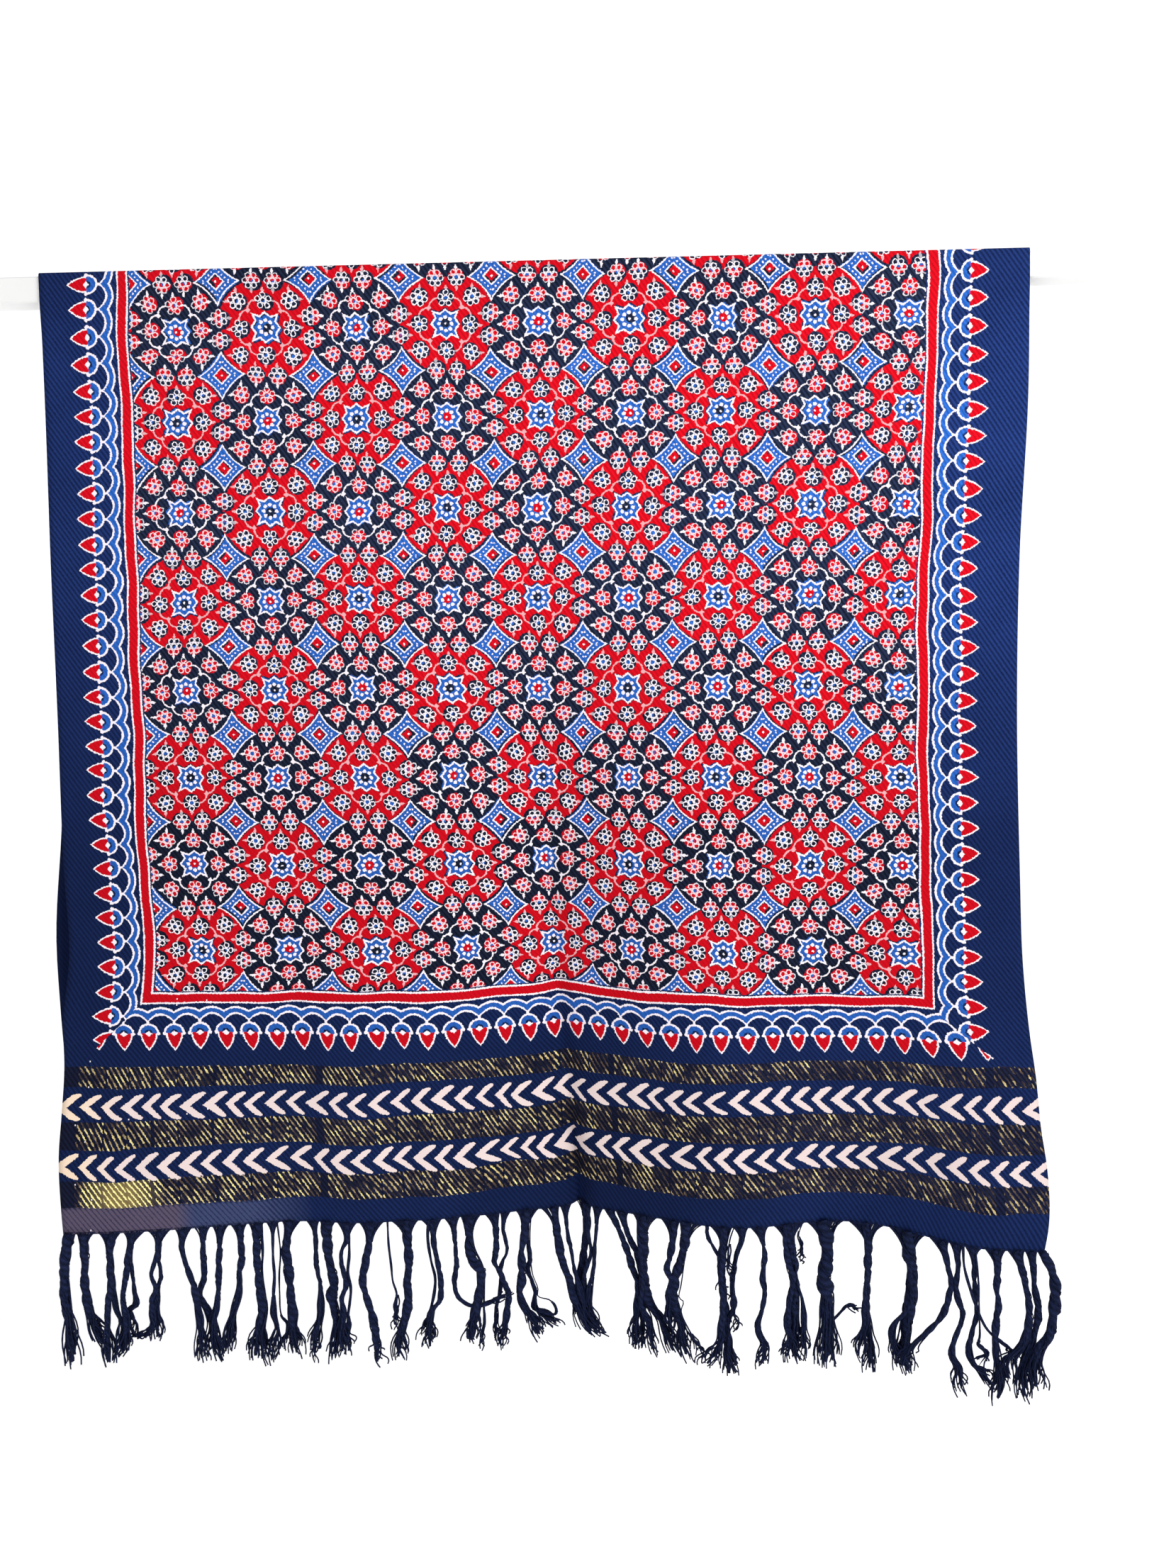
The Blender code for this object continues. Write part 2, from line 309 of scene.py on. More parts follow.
# %% Lay the faces out for baking
mesh = stole.data
bake_map = mesh.uv_layers.new(name="OFBake")
flat = np.empty(len(mesh.loops) * 2)
mesh.uv_layers["flat_mm"].data.foreach_get("uv", flat)
flat = flat.reshape(-1, 2)
laid = np.empty_like(flat)
CHARTS = [
    # reverse, from, to, left, bottom, width, height
    (0, 0, FRONT_LENGTH, 0.004, 0.272, 0.71, 0.724),
    (0, FRONT_LENGTH, BACK_LENGTH, 0.004, 0.004, 0.71, 0.262),
    (0, BACK_LENGTH, CLOTH_LENGTH + 20, 0.722, 0.004, 0.134, 0.992),
    (1, 0, CLOTH_LENGTH + 20, 0.862, 0.004, 0.134, 0.992),
]
for face in mesh.polygons:
    at = list(face.loop_indices)
    spot = flat[at]
    middle = spot[:, 1].mean()
    for reverse, low, high, left, bottom, width, height in CHARTS:
        if reverse == face.material_index and low <= middle < high:
            laid[at, 0] = left + width * spot[:, 0] / CLOTH_WIDTH
            laid[at, 1] = bottom + height * (spot[:, 1] - low) / (high - low)
            break
bake_map.data.foreach_set("uv", laid.ravel())
print("cloth faces:", len(mesh.polygons), "triangles:", sum(len(p.vertices) - 2 for p in mesh.polygons))

# %% [markdown]
# ## Colours and nodes
# Natural dyes on cotton: indigo for the navy and the blue, madder for the red, and the
# undyed cloth, kept by a resist paste, for the white lines.
# Colours are written as sRGB hex values, as a paint program shows them, and one function
# turns them into the linear values that Blender mixes. A second small function adds any
# node with its settings and its inputs in order, which keeps a long drawing readable.
# A "Mix" without a type mixes plain numbers.

# %% A colour function and a node function
def hex_colour(code):
    """An sRGB hex code as linear red, green, blue and alpha."""
    parts = [int(code[i : i + 2], 16) / 255 for i in (1, 3, 5)]
    return (*[c / 12.92 if c <= 0.04045 else ((c + 0.055) / 1.055) ** 2.4 for c in parts], 1.0)


def plug(socket, source):
    """Links a socket to a node or an output, or sets it to a value. None leaves it alone."""
    if isinstance(source, bpy.types.Node):
        source = next(s for s in source.outputs if s.enabled)
    if isinstance(source, bpy.types.NodeSocket):
        socket.id_data.links.new(source, socket)
    elif source is not None:
        socket.default_value = source


def put(tree, kind, *sources, stops=(), **settings):
    """Adds a node, sets it, and sets or links its inputs in order.

    A kind in capitals is an operation of the Math node. A second word in any other kind is its
    operation. Stops are the places and colours of a ramp.
    """
    kind, *operation = ("Math " + kind if kind.isupper() else kind).split()
    node = tree.nodes.new(kind if kind.startswith("Node") else "ShaderNode" + kind)
    if operation:
        node.operation = operation[0]
    for name, value in settings.items():
        setattr(node, name, value)
    if stops:
        elements = node.color_ramp.elements
        while len(elements) < len(stops):
            elements.new(1.0)
        for element, (place, colour) in zip(elements, stops):
            element.position = place
            element.color = colour
    for socket, source in zip([s for s in node.inputs if s.enabled], sources):
        plug(socket, source)
    return node


FIELD_NAVY = hex_colour("#222C47")
BORDER_NAVY = hex_colour("#1E346E")
RED = hex_colour("#DC0A1E")
BLUE = hex_colour("#2C68C6")
WHITE = hex_colour("#F2EAF0")

# %% [markdown]
# ## The print
# A block printer stamps the same few blocks over and over. The drawing does the same: it
# folds the whole cloth onto one medallion, one teardrop of the border or one chevron, and
# draws that one by distances: a line is wherever the distance from its middle is small.
# A fine noise shakes the place that is looked up, so every edge is as ragged as ink on
# twill, and a slow one drifts it by a millimetre or so, as a hand sets its blocks.
# Three helpers keep the drawing short: one joins masks, one draws a round spot, one a diamond.

# %% Where on the cloth a point lies
ajrakh = bpy.data.node_groups.new("ajrakh print", "ShaderNodeTree")
ajrakh.interface.new_socket("Colour", in_out="OUTPUT", socket_type="NodeSocketColor")
ajrakh.interface.new_socket("Gold", in_out="OUTPUT", socket_type="NodeSocketFloat")
ajrakh.interface.new_socket("Height", in_out="OUTPUT", socket_type="NodeSocketFloat")
step = functools.partial(put, ajrakh)


def merge(operation, value, *others):
    """Joins two or more values with one operation. MAXIMUM is "or", MULTIPLY is "and"."""
    for other in others:
        value = step(operation, value, other)
    return value


def disc(place, middle, size):
    """1 within a round spot, 0 outside it."""
    far_off = step("VectorMath DISTANCE", place, middle)
    return step("LESS_THAN", far_off, size)


def diamond(place, middle, slopes, size=1.0):
    """1 within a diamond with these slopes, 0 outside it."""
    off = step("VectorMath SUBTRACT", place, middle)
    off_size = step("VectorMath ABSOLUTE", off)
    far_off = step("VectorMath DOT_PRODUCT", off_size, slopes)
    return step("LESS_THAN", far_off, size)


flat_place = step("UVMap", uv_map="flat_mm")
grain = step("TexNoise", flat_place, 0.75, 1.0, noise_dimensions="2D")
shake = step("VectorMath SUBTRACT", grain.outputs["Color"], (0.5, 0.5, 0.5))
shaken = step("VectorMath MULTIPLY_ADD", shake, (1.3, 1.3, 0.0), flat_place)
slow = step("TexNoise", flat_place, 0.018, 1.0, noise_dimensions="2D")
drift = step("VectorMath SUBTRACT", slow.outputs["Color"], (0.5, 0.5, 0.5))
spot = step("VectorMath MULTIPLY_ADD", drift, (5.0, 5.0, 0.0), shaken)
spot_xy = step("SeparateXYZ", spot)
across_cloth = spot_xy.outputs["X"]
along_cloth = spot_xy.outputs["Y"]
to_far_end = step("SUBTRACT", CLOTH_LENGTH, along_cloth)
from_end = step("MINIMUM", along_cloth, to_far_end)
print("print group started with", len(ajrakh.nodes), "nodes")

# %% [markdown]
# ### The medallions
# The field is a chequer of round medallions, red and navy by turns, each 65 mm wide with the
# corners between them left blue. A medallion looks the same from all eight sides, so it is
# folded to one eighth: the larger and the smaller of its two distances from the middle.
# The white lines come from one block and the colours from others, and these never meet
# exactly. So the folding is a small group of its own, which is used once for the white
# lines and once for the colours, at a place that has slipped a little.

# %% Fold the field onto one eighth of a medallion
FIELD_LEFT = 65
FIELD_RIGHT = 628
FIELD_BOTTOM = 177.5
COLUMN_PITCH = 65
ROW_PITCH = 63.5
ROW_START = 207.5 - ROW_PITCH / 2

medallion = bpy.data.node_groups.new("one eighth of a medallion", "ShaderNodeTree")
medallion.interface.new_socket("Place", in_out="INPUT", socket_type="NodeSocketVector")
FOLDED = [
    # what the group gives, kind of value
    ("Middle", "Vector"), ("Eighth", "Vector"), ("Radius", "Float"), ("Navy", "Float"),
    ("Star", "Float"), ("Corner", "Float"), ("Flower", "Float"), ("Flower Place", "Vector"),
    ("Diagonal", "Float"), ("Shared", "Float"),
]
for name, kind in FOLDED:
    medallion.interface.new_socket(name, in_out="OUTPUT", socket_type="NodeSocket" + kind)
fold = functools.partial(put, medallion)

place_in = fold("NodeGroupInput")
from_corner = fold("VectorMath SUBTRACT", place_in, (FIELD_LEFT, ROW_START, 0))
cell = fold("VectorMath DIVIDE", from_corner, (COLUMN_PITCH, ROW_PITCH, 1))
cell_number = fold("VectorMath FLOOR", cell)
in_cell = fold("VectorMath FRACTION", cell)
from_middle = fold("VectorMath SUBTRACT", in_cell, (0.5, 0.5, 0))
half_sum = fold("VectorMath DOT_PRODUCT", cell_number, (0.5, 0.5, 0))
turn_about = fold("FRACT", half_sum)
navy_cell = fold("GREATER_THAN", turn_about, 0.25)
from_centre = fold("VectorMath LENGTH", from_middle)
quarter = fold("VectorMath ABSOLUTE", from_middle)
quarter_xy = fold("SeparateXYZ", quarter)
larger = fold("MAXIMUM", quarter_xy.outputs["X"], quarter_xy.outputs["Y"])
smaller = fold("MINIMUM", quarter_xy.outputs["X"], quarter_xy.outputs["Y"])
one_eighth = fold("CombineXYZ", larger, smaller, 0.0)
both = fold("ADD", larger, smaller)
from_diamond = fold("SUBTRACT", 1.0, both)

# %% [markdown]
# The star in the middle has eight points, four on the axes and four longer ones between. In
# the folded eighth its outline is only two straight lines, and the smaller distance wins.
# There are three kinds of flower: one on each axis, one on each diagonal, and pairs that sit
# across the line between two medallions. All are drawn the same way, so the group finds the
# nearest centre, and the petals are drawn once, round it.

# %% The star and the nearest flower
AXIS_FLOWER = (0.281, 0.0, 0.0)
DIAGONAL_FLOWER = (0.288, 0.288, 0.0)
SHARED_FLOWER = (0.5, 0.119, 0.0)
STAR_SIDES = [
    # the way a side faces, its distance from the middle
    ((0.791, 0.612, 0), 0.1226), ((0.931, -0.365, 0), 0.0770),
]

star_sides = []
for facing, distance in STAR_SIDES:
    reach = fold("VectorMath DOT_PRODUCT", one_eighth, facing)
    star_sides.append(fold("SUBTRACT", reach, distance))
star_edge = fold("MINIMUM", *star_sides)
at_axis = fold("VectorMath SUBTRACT", one_eighth, AXIS_FLOWER)
at_diagonal = fold("VectorMath SUBTRACT", one_eighth, DIAGONAL_FLOWER)
at_shared = fold("VectorMath SUBTRACT", one_eighth, SHARED_FLOWER)
axis_far = fold("VectorMath LENGTH", at_axis)
diagonal_far = fold("VectorMath LENGTH", at_diagonal)
shared_far = fold("VectorMath LENGTH", at_shared)
nearer_diagonal = fold("LESS_THAN", diagonal_far, axis_far)
inner_far = fold("MINIMUM", diagonal_far, axis_far)
nearer_shared = fold("LESS_THAN", shared_far, inner_far)
nearest = fold("MINIMUM", shared_far, inner_far)
inner_place = fold("Mix", nearer_diagonal, at_axis, at_diagonal, data_type="VECTOR")
nearest_place = fold("Mix", nearer_shared, inner_place, at_shared, data_type="VECTOR")
fold(
    "NodeGroupOutput", from_middle, one_eighth, from_centre, navy_cell, star_edge, from_diamond,
    nearest, nearest_place, nearer_diagonal, nearer_shared,
)
print("the folding takes", len(medallion.nodes), "nodes")

# %% [markdown]
# A colour block covers four medallions. Each stamp of it lands up to 2 mm off, in its own
# direction, which leaves dark rims on one side of a flower and red outside it on the other.

# %% The white lines' place and the colours' place
BLOCK_SIZE = (2 * COLUMN_PITCH, 2 * ROW_PITCH, 1)
BLOCK_SLIP = (3.4, 3.0, 0)

block = step("VectorMath DIVIDE", spot, BLOCK_SIZE)
block_number = step("VectorMath FLOOR", block)
block_luck = step("TexWhiteNoise", block_number, noise_dimensions="2D")
block_off = step("VectorMath SUBTRACT", block_luck.outputs["Color"], (0.5, 0.5, 0.5))
slipped = step("VectorMath MULTIPLY_ADD", block_off, BLOCK_SLIP, spot)
ink = step("Group", slipped, node_tree=medallion).outputs
resist = step("Group", spot, node_tree=medallion).outputs
navy_one = resist["Navy"]
far_near = step("SeparateXYZ", resist["Eighth"])
far = far_near.outputs["X"]
near = far_near.outputs["Y"]

# %% [markdown]
# First the colours. A red medallion is red but for round openings at its flowers and one at
# its star, a navy one is red only behind its flowers. Outside the circle the ground is blue,
# with a small red diamond where four medallions meet.

# %% The colours of the medallions
CIRCLE = 0.56
HEART_HOLE = 0.023

red_open = step("MULTIPLY_ADD", ink["Shared"], 0.009, 0.096)
red_ground = step("GREATER_THAN", ink["Flower"], red_open)
off_star = step("GREATER_THAN", ink["Star"], 0.014)
in_circle = step("LESS_THAN", ink["Radius"], CIRCLE - 0.02)
red_ring = merge("MULTIPLY", red_ground, off_star, in_circle)
red_flowers = step("LESS_THAN", ink["Flower"], 0.084)
red_disc = step("LESS_THAN", ink["Radius"], 0.05)
red_spots = merge("MAXIMUM", red_flowers, red_disc)
medallion_red = step("Mix", ink["Navy"], red_ring, red_spots)
diamond_red = step("LESS_THAN", ink["Corner"], 0.064)
blue_outside = step("GREATER_THAN", ink["Radius"], CIRCLE + 0.004)
off_diamond = step("GREATER_THAN", resist["Corner"], 0.08)
blue_corner = merge("MULTIPLY", blue_outside, off_diamond)
in_star = step("LESS_THAN", ink["Star"], 0.002)
off_disc = step("GREATER_THAN", ink["Radius"], 0.052)
blue_star = merge("MULTIPLY", in_star, off_disc)
blue_heart = step("LESS_THAN", ink["Flower"], HEART_HOLE)
blue_part = merge("MAXIMUM", blue_star, blue_heart, blue_corner)
red_part = merge("MAXIMUM", medallion_red, diamond_red)
with_red = step("Mix", red_part, FIELD_NAVY, RED, data_type="RGBA")
with_blue = step("Mix", blue_part, with_red, BLUE, data_type="RGBA")

# %% [markdown]
# Then the white lines of the corners and the star: the circle, a row of dots outside it, a
# frame round the diamond, and the star's outline with eight small petals inside.

# %% White lines of the corners and the star
DOTS_ROUND = 84
DOT_CIRCLE = 0.605
STAR_PETAL = 0.0205

circle_line = step("COMPARE", resist["Radius"], CIRCLE, 0.008)
middle_xy = step("SeparateXYZ", resist["Middle"])
bearing = step("ARCTAN2", middle_xy.outputs["Y"], middle_xy.outputs["X"])
dot_turn = step("MULTIPLY", bearing, DOTS_ROUND / math.tau)
dot_part = step("FRACT", dot_turn)
dot_aside = step("SUBTRACT", dot_part, 0.5)
dot_x = step("MULTIPLY", dot_aside, math.tau * DOT_CIRCLE / DOTS_ROUND)
dot_y = step("SUBTRACT", resist["Radius"], DOT_CIRCLE)
dot_place = step("CombineXYZ", dot_x, dot_y, 0.0)
dots = disc(dot_place, (0, 0, 0), 0.0100)
frame_line = step("COMPARE", resist["Corner"], 0.090, 0.011)
diamond_dot = step("LESS_THAN", resist["Corner"], 0.014)
star_line = step("COMPARE", resist["Star"], 0.0, 0.0095)
axis_petals = disc(resist["Eighth"], (0.071, 0, 0), STAR_PETAL)
diagonal_petals = disc(resist["Eighth"], (0.051, 0.051, 0), STAR_PETAL)
star_dot = step("LESS_THAN", resist["Radius"], 0.013)
corner_lines = merge("MAXIMUM", circle_line, dots, frame_line, diamond_dot)
star_lines = merge("MAXIMUM", star_line, axis_petals, diagonal_petals, star_dot)
corner_and_star = merge("MAXIMUM", corner_lines, star_lines)

# %% [markdown]
# A flower is a ring of five or six white petals, each with an eye that lets the colour behind
# it through, round a blue heart. The turn round the flower is folded onto one petal.

# %% The petals
PETAL_RING = 0.0645
PETAL_SIZE = 0.0325
PETAL_EYE = 0.0215
HEART_SIZE = 0.036

six_petals = merge("MAXIMUM", resist["Diagonal"], resist["Shared"])
petal_count = step("ADD", six_petals, 5.0)
inner_turn = step("Mix", resist["Diagonal"], 0.0, math.radians(15))
flower_turn = step("Mix", resist["Shared"], inner_turn, math.radians(30))
flower_xy = step("SeparateXYZ", resist["Flower Place"])
flower_bearing = step("ARCTAN2", flower_xy.outputs["Y"], flower_xy.outputs["X"])
turned = step("SUBTRACT", flower_bearing, flower_turn)
petal_arc = step("DIVIDE", math.tau, petal_count)
in_petals = step("DIVIDE", turned, petal_arc)
whole_petal = step("ROUND", in_petals)
part_petal = step("SUBTRACT", in_petals, whole_petal)
petal_bearing = step("MULTIPLY", part_petal, petal_arc)
petal_cos = step("COSINE", petal_bearing)
petal_sin = step("SINE", petal_bearing)
petal_x = step("MULTIPLY", resist["Flower"], petal_cos)
petal_y = step("MULTIPLY", resist["Flower"], petal_sin)
petal_place = step("CombineXYZ", petal_x, petal_y, 0.0)
petal_disc = disc(petal_place, (PETAL_RING, 0, 0), PETAL_SIZE)
petal_eye = disc(petal_place, (PETAL_RING, 0, 0), PETAL_EYE)
heart_disc = step("LESS_THAN", resist["Flower"], HEART_SIZE)
heart_hole = step("LESS_THAN", resist["Flower"], HEART_HOLE)
flower_all = merge("MAXIMUM", petal_disc, heart_disc)
flower_eyes = merge("MAXIMUM", petal_eye, heart_hole)
flower_white = step("SUBTRACT", flower_all, flower_eyes, use_clamp=True)

# %% [markdown]
# Each flower sends out a small spike, the shared ones inwards and the others outwards, and
# thin arcs join the axis flowers to four knots round the star.

# %% Spikes, knots and arcs
ARC_MIDDLE = (0.190, 0.085, 0)

flip = step("MULTIPLY_ADD", resist["Shared"], -2.0, 1.0)
spike_x = step("MULTIPLY", flower_xy.outputs["X"], flip)
spike_end = step("CombineXYZ", spike_x, flower_xy.outputs["Y"], 0.0)
spikes = diamond(spike_end, (0.108, 0, 0), (22, 58, 0))
knots = diamond(resist["Eighth"], (0.180, 0.180, 0), (1, 1, 0), 0.029)
arc_far = step("VectorMath DISTANCE", resist["Eighth"], ARC_MIDDLE)
arc_line = step("COMPARE", arc_far, 0.094, 0.0085)
arc_above = step("GREATER_THAN", near, ARC_MIDDLE[1])
arc_beyond = step("GREATER_THAN", far, 0.178)
arcs = merge("MULTIPLY", arc_line, arc_above, arc_beyond)
fine_lines = merge("MAXIMUM", arcs, knots, spikes)
line_strength = step("MULTIPLY_ADD", navy_one, 0.5, 0.5)
petal_strength = step("MULTIPLY_ADD", navy_one, -0.18, 1.0)
pale_lines = merge("MULTIPLY", fine_lines, line_strength)
line_whites = merge("MAXIMUM", corner_and_star, pale_lines)
over_eyes = step("SUBTRACT", line_whites, flower_eyes, use_clamp=True)
flower_strength = step("MULTIPLY_ADD", resist["Shared"], -0.04, petal_strength)
pale_flowers = merge("MULTIPLY", flower_white, flower_strength)
field_white = merge("MAXIMUM", over_eyes, pale_flowers)
field_colour = step("Mix", field_white, with_blue, WHITE, data_type="RGBA")
print("with the medallions:", len(ajrakh.nodes), "nodes")

# %% [markdown]
# ### The border
# Round the field run a red line between two white ones, a blue ribbon between two scalloped
# lines, and a row of teardrops with their points outwards. At the corner the two rows meet on
# a mitre, as the blocks do. The drawing needs only two values: how far outside the field a
# point is, and how far along it is from the nearest teardrop.

# %% Distances of the border
SIDE_PITCH = 18.1
END_PITCH = 18.39
LEFT_PHASE = 159.6
RIGHT_PHASE = 153.3
END_PHASE = 24.4

past_left = step("SUBTRACT", FIELD_LEFT, across_cloth)
past_right = step("SUBTRACT", across_cloth, FIELD_RIGHT)
past_side = merge("MAXIMUM", past_left, past_right)
past_bottom = step("SUBTRACT", FIELD_BOTTOM, from_end)
out = merge("MAXIMUM", past_side, past_bottom)
by_side = step("GREATER_THAN", past_side, past_bottom)
right_half = step("GREATER_THAN", across_cloth, CLOTH_WIDTH / 2)
side_phase = step("Mix", right_half, LEFT_PHASE, RIGHT_PHASE)
side_from = step("SUBTRACT", from_end, side_phase)
side_turn = step("DIVIDE", side_from, SIDE_PITCH)
end_from = step("SUBTRACT", across_cloth, END_PHASE)
end_turn = step("DIVIDE", end_from, END_PITCH)
border_turn = step("Mix", by_side, end_turn, side_turn)
border_whole = step("ROUND", border_turn)
border_part = step("SUBTRACT", border_turn, border_whole)
aside_signed = step("MULTIPLY", border_part, SIDE_PITCH)
aside = step("ABSOLUTE", aside_signed)

# %% Lines, ribbon and scallops
HALF_PITCH = SIDE_PITCH / 2
INNER_SCALLOP = (12.5, 3.0)
OUTER_SCALLOP = (17.0, 5.3)
LINE_HALF = 0.78

from_bulge = step("SUBTRACT", HALF_PITCH, aside)
bulge_part = step("DIVIDE", from_bulge, HALF_PITCH)
bulge_curve = step("POWER", bulge_part, 2.0)
inner_line = step("MULTIPLY_ADD", bulge_curve, INNER_SCALLOP[1], INNER_SCALLOP[0])
outer_line = step("MULTIPLY_ADD", bulge_curve, OUTER_SCALLOP[1], OUTER_SCALLOP[0])
inner_off = step("SUBTRACT", out, inner_line)
outer_off = step("SUBTRACT", out, outer_line)
inner_scallops = step("COMPARE", inner_off, 0.0, LINE_HALF)
outer_scallops = step("COMPARE", outer_off, 0.0, LINE_HALF)
beyond_inner = step("GREATER_THAN", inner_off, 0.0)
within_outer = step("LESS_THAN", outer_off, 0.0)
ribbon = merge("MULTIPLY", beyond_inner, within_outer)
stem_high = step("COMPARE", out, 23.3, 1.6)
stem_wide = step("LESS_THAN", aside, 0.9)
stem = merge("MULTIPLY", stem_high, stem_wide)

# %% [markdown]
# A teardrop is a cap and a drop. The cap is a half ring of white round a blue crescent, the
# drop a pointed arch with a white edge and a red heart, and a small white knob joins the two.

# %% The teardrops
CAP_MIDDLE = 31
CAP_RADIUS = 6.75
CRESCENT_RADIUS = 4.4
DROP_LENGTH = 13.3
DROP_HALF = 6.2

past_cap = step("SUBTRACT", out, CAP_MIDDLE)
cap_place = step("CombineXYZ", aside, past_cap, 0.0)
cap_far = step("VectorMath LENGTH", cap_place)
cap_half = step("LESS_THAN", past_cap, 0.5)
cap_ring = step("COMPARE", cap_far, CAP_RADIUS, 0.75)
cap_white = merge("MULTIPLY", cap_ring, cap_half)
crescent_ring = step("COMPARE", cap_far, CRESCENT_RADIUS, 1.6)
crescent = merge("MULTIPLY", crescent_ring, cap_half)
feet = disc(cap_place, (6.9, 0.3, 0), 1.3)
knob = diamond(cap_place, (0, 0.4, 0), (0.8, 1.0, 0), 2.1)
drop_part = step("DIVIDE", past_cap, DROP_LENGTH)
drop_curve = step("POWER", drop_part, 2.0)
drop_half = step("MULTIPLY_ADD", drop_curve, -DROP_HALF, DROP_HALF)
drop_off = step("SUBTRACT", drop_half, aside)
past_zero = step("GREATER_THAN", past_cap, 0.0)
drop_in = step("GREATER_THAN", drop_off, 0.0)
heart_in = step("GREATER_THAN", drop_off, 1.2)
drop_all = merge("MULTIPLY", drop_in, past_zero)
heart = merge("MULTIPLY", heart_in, past_zero)

# %% Lay the inks of the border over each other
LINE_STOPS = [
    # mm outside the field, ink
    (0.0, BORDER_NAVY), (0.8, WHITE), (2.2, RED), (8.3, WHITE), (9.4, BORDER_NAVY),
]
LINE_SPAN = 50

line_place = step("MULTIPLY", out, 1 / LINE_SPAN, use_clamp=True)
line_stops = [(distance / LINE_SPAN, colour) for distance, colour in LINE_STOPS]
line_ramp = step("ValToRGB", line_place, stops=line_stops)
line_ramp.color_ramp.interpolation = "CONSTANT"
blue_border = merge("MAXIMUM", ribbon, crescent)
border_a = step("Mix", blue_border, line_ramp, BLUE, data_type="RGBA")
drop_edge = step("SUBTRACT", drop_all, heart)
scallop_lines = merge("MAXIMUM", inner_scallops, outer_scallops, stem)
drop_lines = merge("MAXIMUM", cap_white, feet, drop_edge, knob)
border_lines = merge("MAXIMUM", scallop_lines, drop_lines)
border_b = step("Mix", heart, border_a, RED, data_type="RGBA")
border_colour = step("Mix", border_lines, border_b, WHITE, data_type="RGBA")
in_field = step("LESS_THAN", out, 0.0)
printed = step("Mix", in_field, border_colour, field_colour, data_type="RGBA")
print("with the border:", len(ajrakh.nodes), "nodes")

# %% [markdown]
# ### The end of the cloth
# Below the border come three woven bands with a gold weft, two rows of printed chevrons
# between them, and a plain strip above the fringe. The bands lie a little askew, so their
# height on the cloth changes with the place across it.
# In a gold band the flat metal thread shows as short dashes. Each row of the weave shifts
# them to one side, which makes the slanting ribs, and every 20 mm or so a dark seam runs up
# the band, where the ribs start afresh. The dashes are 3.8 mm apart here, a quarter coarser
# than the real ones, which would run together into a flat tone at this distance.

# %% Heights at the end of the cloth
across_part = step("DIVIDE", across_cloth, CLOTH_WIDTH)
skew_curve = step("POWER", across_part, 2.0)
skew = step("MULTIPLY_ADD", skew_curve, 8.0, -2.5)
height = step("SUBTRACT", from_end, skew)

# %% The gold bands
GOLD_BANDS = [(21, 40), (63, 83), (109, 124)]
BAND_SPAN = 200
DASH_PITCH = 3.8
DASH_ROW = 4.4
DASH_SHIFT = 0.7
SEAM_PITCH = 21
GOLD_GROUND = hex_colour("#232A4C")
BRIGHT_PATCH_GOLD = hex_colour("#9A8650")

band_place = step("MULTIPLY", height, 1 / BAND_SPAN, use_clamp=True)
band_stops = [(0.0, (0, 0, 0, 1))]
for low, high in GOLD_BANDS:
    band_stops += [(low / BAND_SPAN, (1, 1, 1, 1)), (high / BAND_SPAN, (0, 0, 0, 1))]
band_ramp = step("ValToRGB", band_place, stops=band_stops)
band_ramp.color_ramp.interpolation = "CONSTANT"
dash_up = step("DIVIDE", height, DASH_ROW)
seam_place = step("CombineXYZ", across_cloth, 0.0, 0.0)
seam_drift = step("TexNoise", seam_place, 0.02, 1.0, noise_dimensions="2D")
seam_even = step("DIVIDE", across_cloth, SEAM_PITCH)
seam_turn = step("MULTIPLY_ADD", seam_drift, 4.0, seam_even)
seam_part = step("FRACT", seam_turn)
seam_clear = step("GREATER_THAN", seam_part, 0.07)
seam_number = step("FLOOR", seam_turn)
dash_over = step("DIVIDE", across_cloth, DASH_PITCH)
dash_slant = step("MULTIPLY_ADD", dash_up, DASH_SHIFT, dash_over)
dash_shift = step("MULTIPLY_ADD", seam_number, 0.43, dash_slant)
dash_cell = step("CombineXYZ", dash_shift, dash_up, 0.0)
dash_in = step("VectorMath FRACTION", dash_cell)
dash_number = step("VectorMath FLOOR", dash_cell)
dash_from = step("VectorMath SUBTRACT", dash_in, (0.5, 0.5, 0))
dash_size = step("VectorMath ABSOLUTE", dash_from)
dash_unit = step("VectorMath DIVIDE", dash_size, (0.18, 0.60, 1))
dash_far = step("VectorMath LENGTH", dash_unit)
dash_shape = step("LESS_THAN", dash_far, 1.0)
dash_luck = step("TexWhiteNoise", dash_number, noise_dimensions="2D")
dash = merge("MULTIPLY", dash_shape, seam_clear, band_ramp)

# %% [markdown]
# Flat metal thread flashes only where it faces the light, and here that flash is a painted
# glint in the gold's colour: whole patches of a band are bright and others almost dark, and
# single dashes differ from their neighbours. The patches come from a slow noise on the cloth,
# so they stay put when the view changes. One patch of the lowest band, near the left
# selvedge, is bright all over: a gold ground, and dashes at the top of the painted glint.

# %% The painted glint of the gold
GOLD_GLINT_TONES = [(0.0, "#2C2C3E"), (0.35, "#705C4A"), (0.65, "#CFB980"), (1.0, "#FFF1A0")]
BRIGHT_PATCH = (42, 30, 0)

# Painted glint: slow patches of a band and single dashes lighter or darker
glint_patch = step("TexNoise", flat_place, 0.075, 2.0, noise_dimensions="2D")
glint_patch_even = step("MULTIPLY_ADD", glint_patch, 1.1, -0.30)
glint_patch_level = step("MULTIPLY_ADD", across_part, -0.28, glint_patch_even)
end_place = step("CombineXYZ", across_cloth, height, 0.0)
bright_patch_far = step("VectorMath DISTANCE", end_place, BRIGHT_PATCH)
bright_patch_part = step("MULTIPLY_ADD", bright_patch_far, -0.045, 1.35, use_clamp=True)
glint_with_bright_patch = step("MULTIPLY_ADD", bright_patch_part, 1.5, glint_patch_level)
dash_glint_level = step("MULTIPLY_ADD", dash_luck, 0.6, glint_with_bright_patch)
near_selvedge = step("MULTIPLY", across_cloth, 0.06, use_clamp=True)
